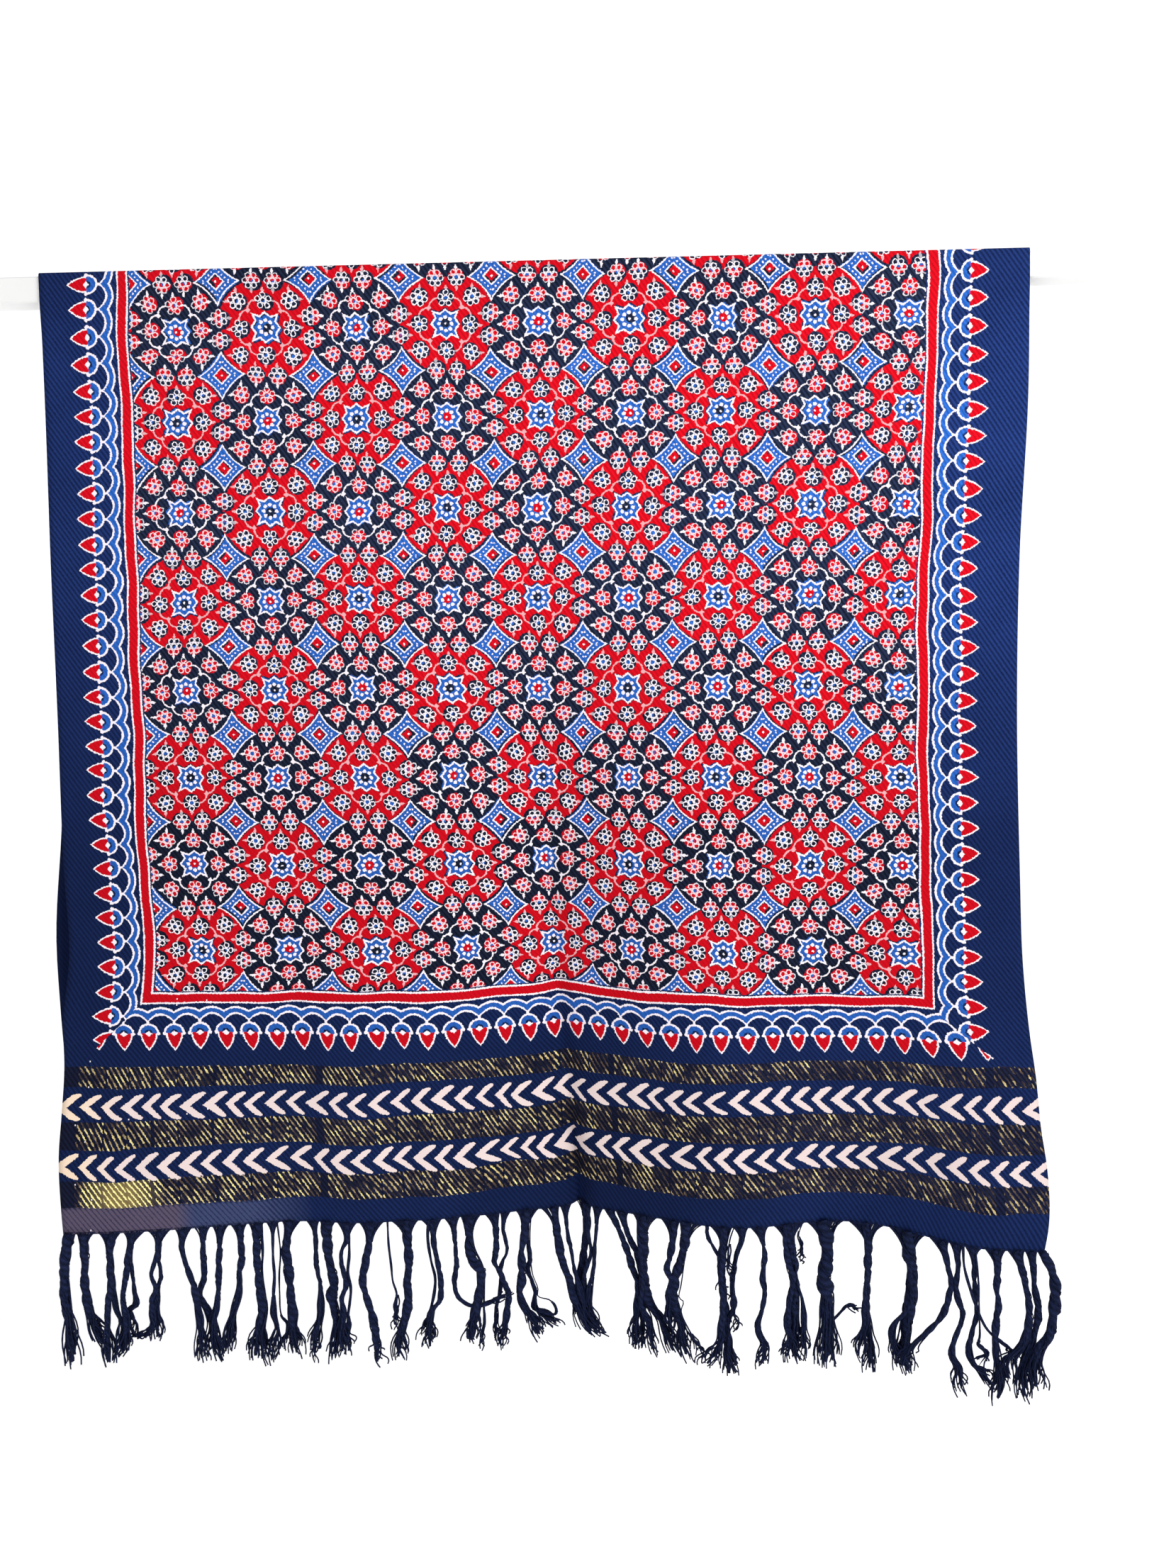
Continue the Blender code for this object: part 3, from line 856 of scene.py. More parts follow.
gold_glint_level = step("MULTIPLY", dash_glint_level, near_selvedge, use_clamp=True)
gold_glint_stops = [(brightness, hex_colour(tone)) for brightness, tone in GOLD_GLINT_TONES]
gold_with_painted_glint = step("ValToRGB", gold_glint_level, stops=gold_glint_stops)

# %% [markdown]
# The chevrons are printed with one block of a few arrowheads, so they drift in spacing and
# size. Each is a band of the value "place across, less a share of the height from its row's
# middle", which bends a stripe into an arrowhead with its tip on the left.

# %% The chevrons
CHEVRON_ROWS = (50.5, 94.5)
CHEVRON_PITCH = 14.8
CHEVRON_SLOPE = 1.1
CHEVRON_HALF = 9.2

upper_row = step("GREATER_THAN", height, sum(CHEVRON_ROWS) / 2)
row_middle = step("Mix", upper_row, CHEVRON_ROWS[0], CHEVRON_ROWS[1])
wander_place = step("CombineXYZ", across_cloth, row_middle, 0.0)
wander = step("TexNoise", wander_place, 0.03, 1.0, noise_dimensions="2D")
wander_up = step("MULTIPLY_ADD", wander, 4.0, -2.0)
row_off = step("SUBTRACT", height, row_middle)
row_up = step("ADD", row_off, wander_up)
row_far = step("ABSOLUTE", row_up)
bent = step("MULTIPLY_ADD", row_far, -CHEVRON_SLOPE, across_cloth)
bent_drift = step("MULTIPLY_ADD", wander, 9.0, bent)
chevron_turn = step("DIVIDE", bent_drift, CHEVRON_PITCH)
chevron_number = step("FLOOR", chevron_turn)
chevron_part = step("FRACT", chevron_turn)
chevron_key = step("CombineXYZ", chevron_number, row_middle, 0.0)
chevron_luck = step("TexWhiteNoise", chevron_key, noise_dimensions="2D")
chevron_wide = step("MULTIPLY_ADD", chevron_luck, 0.12, 0.38)
stroke_part = step("DIVIDE", chevron_part, chevron_wide)
stroke_side = step("MULTIPLY_ADD", stroke_part, 2.0, -1.0)
stroke_round = step("POWER", stroke_side, 2.0)
stroke_in = step("LESS_THAN", stroke_part, 1.0)
chevron_end = step("MULTIPLY_ADD", stroke_round, -1.6, CHEVRON_HALF)
chevron_high = step("MULTIPLY_ADD", chevron_luck, 1.2, chevron_end)
under_end = step("LESS_THAN", row_far, chevron_high)
chevrons = merge("MULTIPLY", stroke_in, under_end)

# %% Lay the end of the cloth over the print
CHEVRON_WHITE = hex_colour("#E9D6D2")
CHEVRON_WARM = hex_colour("#F5DCC2")

warm_part = step("MULTIPLY_ADD", across_cloth, -0.03, 1.3, use_clamp=True)
chevron_ink = step("Mix", warm_part, CHEVRON_WHITE, CHEVRON_WARM, data_type="RGBA")
bright_patch_share = step("MULTIPLY", bright_patch_part, 0.75)
band_ground = step("Mix", bright_patch_share, GOLD_GROUND, BRIGHT_PATCH_GOLD, data_type="RGBA")
with_ground = step("Mix", band_ramp, printed, band_ground, data_type="RGBA")
with_chevrons = step("Mix", chevrons, with_ground, chevron_ink, data_type="RGBA")
all_inks = step("Mix", dash, with_chevrons, gold_with_painted_glint, data_type="RGBA")

# %% [markdown]
# ### The cotton under the print
# Twill shows fine ribs that slant down to the right. Here they are 3.5 mm apart, a little
# coarser than the 3 mm of the real cloth, which would blur away at this distance.
# Their backs carry the dye lighter. Only the dark dye changes its tone, the red and the white
# stay as they are. Painted light and shade lie on that dark dye as well: it is lightest at the
# upper right, darker at the left, towards the fringe and on the half that hangs behind, darkest
# on the layer folded inside, and painted shade darkens it where the big crease sinks into the hem.
# The lower left corner of the hem strip has a painted pale haze of light, grey at the corner
# and pale indigo beside it. A few missed threads stayed white.

# %% Twill, uneven tone, painted light and shade, painted haze and white specks
WALE = 3.5
WALE_SLOPE = 0.72
# Middle of the painted shade where the big crease sinks into the hem
HEM_TROUGH = (385, 30, 0)
SPECKED_ACROSS = 105
SPECKED_UP = 175
# Colours of the painted pale haze of light on the lower left of the hem strip
PAINTED_HAZE_GREY = hex_colour("#5A5064")
PAINTED_HAZE_BLUE = hex_colour("#3D466A")

flat_xy = step("SeparateXYZ", flat_place)
slant = step("MULTIPLY_ADD", flat_xy.outputs["Y"], WALE_SLOPE, flat_xy.outputs["X"])
slant_shaken = step("MULTIPLY_ADD", grain, 0.9, slant)
wale_turn = step("MULTIPLY", slant_shaken, math.tau / WALE)
wale = step("SINE", wale_turn)
clouds = step("TexNoise", flat_place, 0.02, 3.0, noise_dimensions="2D")
cloud_tone = step("MULTIPLY_ADD", clouds, 0.5, 0.75)
grain_tone = step("MULTIPLY_ADD", grain, 0.5, cloud_tone)
wale_tone = step("MULTIPLY_ADD", wale, 0.6, grain_tone)
even_tone = step("SUBTRACT", wale_tone, 0.25)
# Painted light and shade on the dark dye: lighter to the right and away from the fringe, darker on the half
# that hangs behind, darkest on the layer folded inside, and painted shade round the crease in the hem
painted_light_across = step("MULTIPLY_ADD", across_part, 0.36, 0.64)
painted_light_up = step("MULTIPLY_ADD", from_end, 1 / 190, -1.55, use_clamp=True)
painted_shade_to_end = step("MULTIPLY_ADD", painted_light_up, 0.58, 0.42)
front_half_part = step("MULTIPLY_ADD", along_cloth, -1 / 80, 9.0, use_clamp=True)
painted_shade_back = step("MULTIPLY_ADD", front_half_part, 0.4, 0.6)
outer_layers_part = step("MULTIPLY_ADD", along_cloth, -1 / 30, 44.0, use_clamp=True)
painted_shade_inside = step("MULTIPLY_ADD", outer_layers_part, 0.7, 0.3)
crease_shade_far = step("VectorMath DISTANCE", end_place, HEM_TROUGH)
crease_shade_open = step("MULTIPLY", crease_shade_far, 1 / 160, use_clamp=True)
painted_crease_shade = step("MULTIPLY_ADD", crease_shade_open, 0.58, 0.42)
painted_light_and_shade = merge("MULTIPLY", painted_light_across, painted_shade_to_end, painted_shade_back, painted_shade_inside, painted_crease_shade)
dark_tone_and_painted_light = merge("MULTIPLY", even_tone, painted_light_and_shade)
all_light = step("RGBToBW", all_inks)
tone_share = step("MULTIPLY_ADD", all_light, -4.0, 1.0, use_clamp=True)
tone = step("Mix", tone_share, 1.0, dark_tone_and_painted_light)
dyed_and_painted_light = step("VectorMath MULTIPLY", all_inks, tone)
speck_cell = step("VectorMath MULTIPLY", flat_place, (1.3, 0.9, 0))
speck_number = step("VectorMath FLOOR", speck_cell)
speck_luck = step("TexWhiteNoise", speck_number, noise_dimensions="2D")
specks_all = step("GREATER_THAN", speck_luck, 0.9992)
specks_left = step("LESS_THAN", across_cloth, SPECKED_ACROSS)
specks_low = step("LESS_THAN", from_end, SPECKED_UP)
specks = merge("MULTIPLY", specks_all, specks_left, specks_low)
# Painted pale haze of light over the lower left corner of the hem strip
painted_haze_low = step("MULTIPLY_ADD", height, -0.35, 7.7, use_clamp=True)
painted_haze_left = step("MULTIPLY_ADD", across_cloth, -0.022, 3.8, use_clamp=True)
painted_haze = merge("MULTIPLY", painted_haze_low, painted_haze_left)
painted_haze_part = step("MULTIPLY", painted_haze, even_tone, use_clamp=True)
painted_haze_turn = step("MULTIPLY_ADD", across_cloth, 0.08, -6.2, use_clamp=True)
painted_haze_tone = step("Mix", painted_haze_turn, PAINTED_HAZE_GREY, PAINTED_HAZE_BLUE, data_type="RGBA")
with_painted_haze = step("Mix", painted_haze_part, dyed_and_painted_light, painted_haze_tone, data_type="RGBA")
with_specks = step("Mix", specks, with_painted_haze, WHITE, data_type="RGBA")
wale_height = step("MULTIPLY_ADD", wale, 0.5, 0.5)
cloth_height = step("MULTIPLY_ADD", dash, 0.3, wale_height)
step("NodeGroupOutput", with_specks, dash, cloth_height)
print("the whole print:", len(ajrakh.nodes), "nodes")

# %% [markdown]
# ## Cloth materials
# The printed face is matt cotton that has been washed many times, so its roughness is high
# and its specular very low, which keeps the dyes deep. Only the gold dashes are smoother.
# The reverse of a block print is the same cloth with the dye sunk halfway through: nearly
# plain navy, with a ghost of the pattern.

# %% Printed face and reverse
def new_material(name):
    """A new material, with its node tree and its shader."""
    made = bpy.data.materials.new(name)
    made.use_nodes = True
    return made, made.node_tree, made.node_tree.nodes["Principled BSDF"]


def dress(shader, looks):
    """Sets or links the shader's sockets by their names."""
    for name, look in looks.items():
        plug(shader.inputs[name], look)


printed_cotton, tree, shader = new_material("block printed cotton twill")
art = put(tree, "Group", node_tree=ajrakh)
rough = put(tree, "Mix", art.outputs["Gold"], 0.95, 0.5)
bump = put(tree, "Bump", 0.2, 0.0001, None, art.outputs["Height"])
dress(shader, {
    "Base Color": art.outputs["Colour"], "Roughness": rough, "Normal": bump,
    "Specular IOR Level": 0.08,
})

reverse_cotton, tree, shader = new_material("reverse of the printed cotton")
art = put(tree, "Group", node_tree=ajrakh)
ghost = put(tree, "Mix", 0.1, hex_colour("#0B0E1A"), art.outputs["Colour"], data_type="RGBA")
bump = put(tree, "Bump", 0.2, 0.0001, None, art.outputs["Height"])
dress(shader, {
    "Base Color": ghost, "Normal": bump, "Roughness": 0.92, "Specular IOR Level": 0.08,
})
stole.data.materials[0] = printed_cotton
stole.data.materials[1] = reverse_cotton

# %% [markdown]
# ## The fringe
# A weaver leaves the warp ends long and twists them into tassels. At the hem they gather from
# both sides into a solid neck, two bundles twist loosely round each other below it, and the
# last 20 to 40 mm come apart again into a tangled brush.
# Each strand of the fringe is one row of a table, listed from left to right. Its path
# is a few points, as far to the side of its root and below it, joined by a smooth curve.

# %% The strands from left to right
STRANDS = [
    # root across, width of its neck, thickness, points of the path in its brush, then the path
    # below the root as (aside, drop), all in mm
    (4, 9, 7.1, 3, ((-3, 18), (-4, 41), (-3, 51), (-2, 67), (-1, 96))),
    (14, 7, 5.7, 2, ((-1, 23), (-2, 41), (0, 59), (4, 72), (11, 85))),
    (33, 8, 4.1, 2, ((-2, 17), (-2, 38), (-4, 56), (-6, 74), (-5, 98))),
    (35, 2, 2.8, 2, ((-3, 20), (-3, 44), (-1, 58), (3, 72), (2, 90))),
    (48, 10, 3.9, 2, ((-4, 15), (-5, 29), (-9, 49), (-7, 64), (-7, 80), (-14, 93))),
    (49, 2, 2.6, 2, ((-4, 17), (-4, 31), (-3, 47), (-2, 57), (-8, 62), (-6, 82))),
    (66, 12, 3.1, 2, ((-3, 20), (-7, 32), (-5, 44), (-8, 52), (-7, 61), (-7, 71), (-13, 79), (-22, 81))),
    (67, 2, 2.8, 2, ((-3, 21), (-3, 35), (-6, 48), (-6, 60), (-6, 73), (-8, 83))),
    (82, 5, 3.9, 2, ((-1, 15), (3, 28), (7, 43), (9, 54), (10, 70), (12, 97))),
    (95, 8, 4.1, 2, ((-1, 23), (-2, 40), (-5, 52), (0, 65), (3, 76), (5, 98))),
    (107, 7, 4.0, 2, ((-1, 24), (-2, 43), (-4, 64), (-6, 74), (-3, 99))),
    (120, 9, 4.5, 3, ((0, 25), (-2, 39), (-3, 52), (-7, 67), (-10, 82), (-15, 100))),
    (132, 9, 5.4, 2, ((0, 23), (1, 38), (2, 53), (2, 69), (-1, 83), (-3, 102))),
    (135, 2, 2.1, 2, ((0, 24), (-1, 39), (1, 62), (-1, 81), (1, 106))),
    (143, 4, 2.3, 2, ((0, 25), (1, 41), (-1, 55), (-1, 70), (2, 82), (-3, 104))),
    (146, 1, 1.3, 1, ((1, 24), (-1, 42), (-1, 57), (0, 73), (5, 83), (-1, 100))),
    (155, 14, 6.2, 2, ((-3, 20), (-1, 35), (0, 55), (1, 70), (0, 82), (3, 101))),
    (172, 5, 3.2, 2, ((1, 16), (1, 35), (3, 51), (3, 70), (0, 83), (-5, 100))),
    (173, 1, 1.3, 1, ((1, 25), (2, 52), (2, 75), (-2, 88), (-2, 108))),
    (181, 12, 6.7, 3, ((0, 23), (3, 38), (5, 50), (2, 57), (4, 73), (7, 90), (3, 104))),
    (196, 8, 3.3, 2, ((0, 13), (-4, 23), (-2, 39), (-1, 49), (-4, 58), (-3, 68), (-6, 81), (-5, 99))),
    (197, 2, 2.3, 1, ((0, 14), (0, 26), (-2, 40), (0, 52), (-1, 63), (-2, 76), (-2, 101))),
    (213, 10, 5.4, 1, ((-1, 13), (-4, 28), (-6, 44), (-4, 56), (0, 69), (2, 85), (3, 107))),
    (225, 2, 1.7, 1, ((0, 18), (2, 35), (3, 47), (5, 58), (4, 73), (5, 85))),
    (238, 11, 5.9, 2, ((1, 16), (2, 31), (1, 47), (1, 62), (-2, 75), (-7, 88), (-8, 105))),
    (254, 2, 2.2, 1, ((-1, 15), (1, 33), (3, 46), (3, 59), (-1, 72), (-5, 84), (-10, 91))),
    (257, 10, 3.9, 2, ((1, 18), (3, 33), (5, 49), (4, 62), (-2, 71), (-3, 84), (-4, 98))),
    (271, 6, 3.5, 1, ((1, 16), (2, 30), (2, 40), (0, 51), (1, 60), (6, 67), (14, 70), (25, 68), (41, 60))),
    (282, 12, 6.7, 3, ((1, 14), (1, 24), (4, 34), (9, 41), (9, 48), (8, 59), (6, 69), (3, 81), (1, 96))),
    (284, 1, 1.5, 1, ((1, 24), (8, 42), (9, 58), (8, 70), (8, 86), (5, 105))),
    (302, 8, 4.1, 2, ((1, 19), (1, 30), (-1, 37), (3, 45), (8, 56), (10, 63), (9, 72), (6, 83), (2, 101))),
    (309, 4, 2.6, 1, ((-1, 13), (1, 31), (-3, 43), (-5, 60), (-7, 73), (-9, 86), (-9, 103))),
    (325, 13, 5.7, 2, ((-1, 18), (-3, 31), (-4, 44), (-4, 55), (-5, 64), (-1, 77), (5, 86), (9, 97))),
    (327, 2, 3.3, 2, ((-1, 22), (0, 40), (-2, 48), (2, 58), (4, 67), (3, 79), (10, 83), (20, 92))),
    (329, 1, 1.0, 1, ((-1, 27), (0, 48), (5, 61), (5, 68), (14, 71), (20, 79), (16, 83), (5, 80))),
    (346, 13, 5.9, 3, ((2, 19), (5, 36), (8, 48), (11, 60), (14, 72), (19, 83), (26, 94), (34, 101))),
    (355, 4, 2.8, 2, ((1, 20), (5, 37), (8, 53), (10, 66), (14, 82), (20, 97))),
    (371, 11, 5.9, 3, ((0, 23), (-2, 38), (-4, 55), (-6, 70), (-6, 86), (-3, 100))),
    (373, 2, 2.8, 2, ((-1, 22), (1, 38), (-4, 54), (-5, 73), (-1, 88), (5, 101))),
    (380, 4, 2.8, 2, ((-1, 17), (-2, 34), (-4, 53), (-7, 68), (-7, 81), (-3, 101))),
    (390, 6, 4.7, 3, ((6, 13), (12, 28), (17, 42), (21, 56), (21, 65), (20, 76), (20, 92), (19, 106))),
    (399, 5, 4.5, 2, ((4, 17), (9, 27), (13, 35), (14, 52), (16, 66), (16, 80), (15, 95), (13, 105))),
    (412, 2, 2.9, 2, ((0, 16), (2, 31), (4, 50), (2, 68), (7, 81), (9, 95), (12, 107))),
    (416, 14, 7.4, 4, ((0, 15), (0, 27), (0, 40), (0, 55), (3, 67), (8, 75), (15, 86), (22, 107))),
    (439, 10, 5.0, 2, ((-1, 15), (-4, 28), (-6, 37), (-2, 45), (-4, 53), (-4, 64), (-4, 80))),
    (448, 13, 6.8, 3, ((-1, 14), (-3, 28), (-7, 41), (-9, 52), (-9, 65), (-5, 78), (-2, 90), (0, 103))),
    (450, 1, 1.0, 1, ((-2, 22), (-6, 45), (-7, 56), (-4, 60), (-6, 69), (3, 87), (12, 100), (7, 104))),
    (463, 3, 2.7, 1, ((1, 9), (6, 18), (10, 28), (12, 39), (12, 55))),
    (474, 1, 3.8, 2, ((0, 24), (-2, 39), (0, 55), (0, 71), (-1, 83), (-6, 95), (-11, 104))),
    (475, 10, 5.9, 3, ((0, 12), (-1, 24), (-2, 35), (-1, 48), (0, 62), (1, 75), (2, 89), (4, 114))),
    (482, 1, 1.0, 1, ((-3, 9), (-4, 21), (-3, 37))),
    (487, 7, 3.6, 2, ((1, 8), (-2, 19), (-5, 33), (-6, 48), (-5, 60), (-8, 71), (-10, 82), (-6, 109))),
    (487, 1, 1.0, 1, ((-3, 21), (-6, 48), (-6, 64), (-3, 72), (-6, 78))),
    (499, 8, 3.7, 2, ((3, 9), (5, 24), (4, 39), (5, 53), (3, 65), (0, 75), (2, 84), (6, 93), (3, 106))),
    (519, 2, 4.3, 2, ((2, 23), (6, 41), (4, 57), (2, 68), (2, 78), (5, 88), (1, 101))),
    (521, 17, 7.0, 3, ((2, 15), (5, 29), (6, 41), (6, 51), (6, 66), (6, 85), (7, 103))),
    (525, 1, 2.3, 2, ((2, 26), (4, 46), (7, 57), (8, 74), (8, 89), (6, 102))),
    (533, 1, 0.8, 1, ((-3, 9), (-1, 18), (-3, 30))),
    (549, 24, 9.9, 4, ((2, 21), (1, 33), (0, 45), (2, 56), (2, 69), (3, 81), (3, 94), (1, 109))),
    (554, 0, 2.1, 1, ((0, 80), (4, 76), (10, 69), (14, 66), (21, 70))),
    (577, 1, 2.8, 2, ((2, 30), (1, 50), (0, 67), (0, 78), (-3, 93), (-4, 103))),
    (579, 13, 5.3, 3, ((2, 17), (1, 30), (2, 46), (1, 59), (0, 69), (2, 84), (4, 97), (4, 114))),
    (607, 1, 2.6, 2, ((3, 30), (3, 51), (-2, 63), (-9, 69), (-11, 78), (-9, 87), (-5, 102))),
    (609, 24, 8.5, 3, ((1, 18), (3, 30), (3, 43), (3, 55), (1, 65), (0, 74), (-1, 86), (0, 108))),
    (633, 10, 4.3, 2, ((4, 18), (6, 31), (5, 39), (3, 50), (-4, 61), (-13, 70), (-20, 78), (-29, 88))),
    (642, 6, 3.8, 2, ((2, 18), (2, 31), (3, 42), (6, 53), (4, 65), (1, 75), (0, 85), (3, 93), (6, 110))),
    (647, 2, 2.1, 1, ((1, 15), (5, 32), (10, 46), (16, 59), (24, 68), (33, 75), (40, 84))),
    (653, 6, 3.2, 2, ((2, 13), (3, 26), (3, 39), (4, 52), (1, 64), (-1, 79), (4, 89), (10, 93), (14, 102))),
    (655, 1, 1.5, 1, ((2, 24), (3, 45), (3, 64), (3, 71), (9, 77), (6, 83), (2, 88))),
    (668, 10, 4.5, 3, ((2, 15), (2, 29), (3, 42), (2, 55), (2, 69), (3, 82), (5, 95), (4, 111))),
    (682, 11, 4.7, 3, ((4, 14), (6, 25), (8, 38), (9, 50), (7, 63), (2, 73), (-4, 79), (-7, 93))),
    (692, 6, 4.5, 3, ((2, 15), (3, 28), (6, 40), (5, 53), (3, 63), (1, 73), (-3, 85), (-4, 109))),
    (699, 11, 6.8, 3, ((6, 12), (8, 22), (8, 35), (7, 48), (5, 61), (-1, 70), (-4, 82), (-3, 98))),
]
YARN_RADIUS = 0.55
PLY_PITCH = 27
FRINGE_SEED = 21
chance = random.Random(FRINGE_SEED)
hem = grid[0]


def read_path(at, along, points):
    """The points of a path at some distances along it."""
    return np.stack([np.interp(at, along, points[:, k]) for k in range(points.shape[1])], axis=-1)


def hem_point(place):
    """The point of the hem at a place across the cloth."""
    return read_path(min(max(place, 0.0), CLOTH_WIDTH), across, hem)


def beside(offset, angle):
    """Steps away from a path, by an offset at an angle round it."""
    return np.stack([offset * np.cos(angle), offset * np.sin(angle), 0 * angle], axis=1)


def smooth_path(points, pitch):
    """A smooth curve through a few points, as points a pitch apart."""
    points = np.asarray(points, float)
    padded = np.vstack([2 * points[0] - points[1], points, 2 * points[-1] - points[-2]])
    pieces = []
    for p0, p1, p2, p3 in zip(padded, padded[1:], padded[2:], padded[3:]):
        t = np.linspace(0, 1, 12, endpoint=False)[:, None]
        pieces.append(0.5 * (2 * p1 + (p2 - p0) * t + (2 * p0 - 5 * p1 + 4 * p2 - p3) * t ** 2
                             + (3 * p1 - p0 - 3 * p2 + p3) * t ** 3))
    dense = np.vstack(pieces + [points[-1:]])
    along = np.concatenate([[0.0], np.cumsum(np.linalg.norm(np.diff(dense, axis=0), axis=1))])
    even = np.linspace(0, along[-1], max(6, round(along[-1] / pitch)))
    return read_path(even, along, dense), even


print(len(STRANDS), "strands")

# %% [markdown]
# One function draws a tube round a path. It keeps the distance along the yarn and the turn
# round it in a UV map, so the material can wind its fibres round each yarn.

# %% A tube along a path
class YarnMesh:
    """Collects tubes, to be made one mesh at the end."""

    def __init__(self):
        self.points, self.faces, self.places = [], [], []
        self.count = 0

    def tube(self, path, radii, sides, phase=0.0):
        """A closed tube with the given radius at each point of the path."""
        path = np.asarray(path, float)
        tangent = np.gradient(path, axis=0)
        tangent /= np.linalg.norm(tangent, axis=1, keepdims=True)
        side = np.cross(tangent, (0.0, 1.0, 0.05))
        side /= np.linalg.norm(side, axis=1, keepdims=True)
        other = np.cross(tangent, side)
        run_on = np.concatenate([[0.0], np.cumsum(np.linalg.norm(np.diff(path, axis=0), axis=1))])
        angle = phase + math.tau * np.arange(sides) / sides
        ring = np.cos(angle)[None, :, None] * side[:, None]
        ring = ring + np.sin(angle)[None, :, None] * other[:, None]
        self.points.append((path[:, None] + np.asarray(radii)[:, None, None] * ring).reshape(-1, 3))
        first = self.count
        rings = len(path)
        self.count += rings * sides
        for i in range(rings - 1):
            low, high = first + i * sides, first + (i + 1) * sides
            for k in range(sides):
                m = (k + 1) % sides
                self.faces.append((low + k, low + m, high + m, high + k))
                self.places.append([(k / sides, run_on[i]), ((k + 1) / sides, run_on[i]),
                                    ((k + 1) / sides, run_on[i + 1]), (k / sides, run_on[i + 1])])
        last = first + (rings - 1) * sides
        self.faces.append(tuple(first + k for k in reversed(range(sides))))
        self.faces.append(tuple(last + k for k in range(sides)))
        self.places.append([(0.0, run_on[0])] * sides)
        self.places.append([(0.0, run_on[-1])] * sides)

    def build(self, name, finish):
        """Makes the mesh object."""
        mesh = bpy.data.meshes.new(name)
        mesh.from_pydata((np.vstack(self.points) * MM).tolist(), [], self.faces)
        layer = mesh.uv_layers.new(name="yarn_mm")
        layer.data.foreach_set("uv", [c for face in self.places for pair in face for c in pair])
        made = bpy.data.objects.new(name, mesh)
        bpy.context.scene.collection.objects.link(made)
        mesh.materials.append(finish)
        mesh.shade_smooth()
        print(name, "triangles:", sum(len(f) - 2 for f in self.faces))
        return made


# %% [markdown]
# The yarn is indigo-dyed cotton, matt and a little hairy. Its fibres wind round it, which a
# slanting wave on the yarn's own map draws, with painted shade in the grooves of the twist and
# its ridges lighter, over a fine random tone.

# %% Cotton yarn
indigo_yarn, tree, shader = new_material("indigo cotton yarn")
yarn_place = put(tree, "UVMap", uv_map="yarn_mm")
yarn_xy = put(tree, "SeparateXYZ", yarn_place)
yarn_turn = put(tree, "MULTIPLY", yarn_xy.outputs["X"], math.tau * 2)
yarn_wind = put(tree, "MULTIPLY_ADD", yarn_xy.outputs["Y"], math.tau / 5, yarn_turn)
yarn_wave = put(tree, "SINE", yarn_wind)
fuzz = put(tree, "TexNoise", put(tree, "TexCoord").outputs["Object"], 900.0, 2.0)
ridge = put(tree, "MULTIPLY_ADD", yarn_wave, 0.28, fuzz)
# Painted shade of the twist: darker in its grooves, lighter on its ridges
yarn_colour_and_twist_shade = put(tree, "Mix", ridge, hex_colour("#090D1E"), hex_colour("#1F294C"), data_type="RGBA")
yarn_bump = put(tree, "Bump", 0.6, 0.0002, None, ridge)
dress(shader, {
    "Base Color": yarn_colour_and_twist_shade, "Normal": yarn_bump, "Roughness": 0.95, "Specular IOR Level": 0.1,
})

# %% [markdown]
# Now the strands are drawn: the two twisted bundles and a few yarns wound round them, the neck
# at the hem, and the brush at the lower end. The thinnest strands are one bundle each.
# Neighbours pass before and behind each other by turns, so two that cross don't meet.

# %% Draw the strands
ropes = YarnMesh()
loose = YarnMesh()
THIN = 2.6
LEAST_NECK = 4
necks = [row[0] for row in STRANDS if row[1] >= LEAST_NECK]

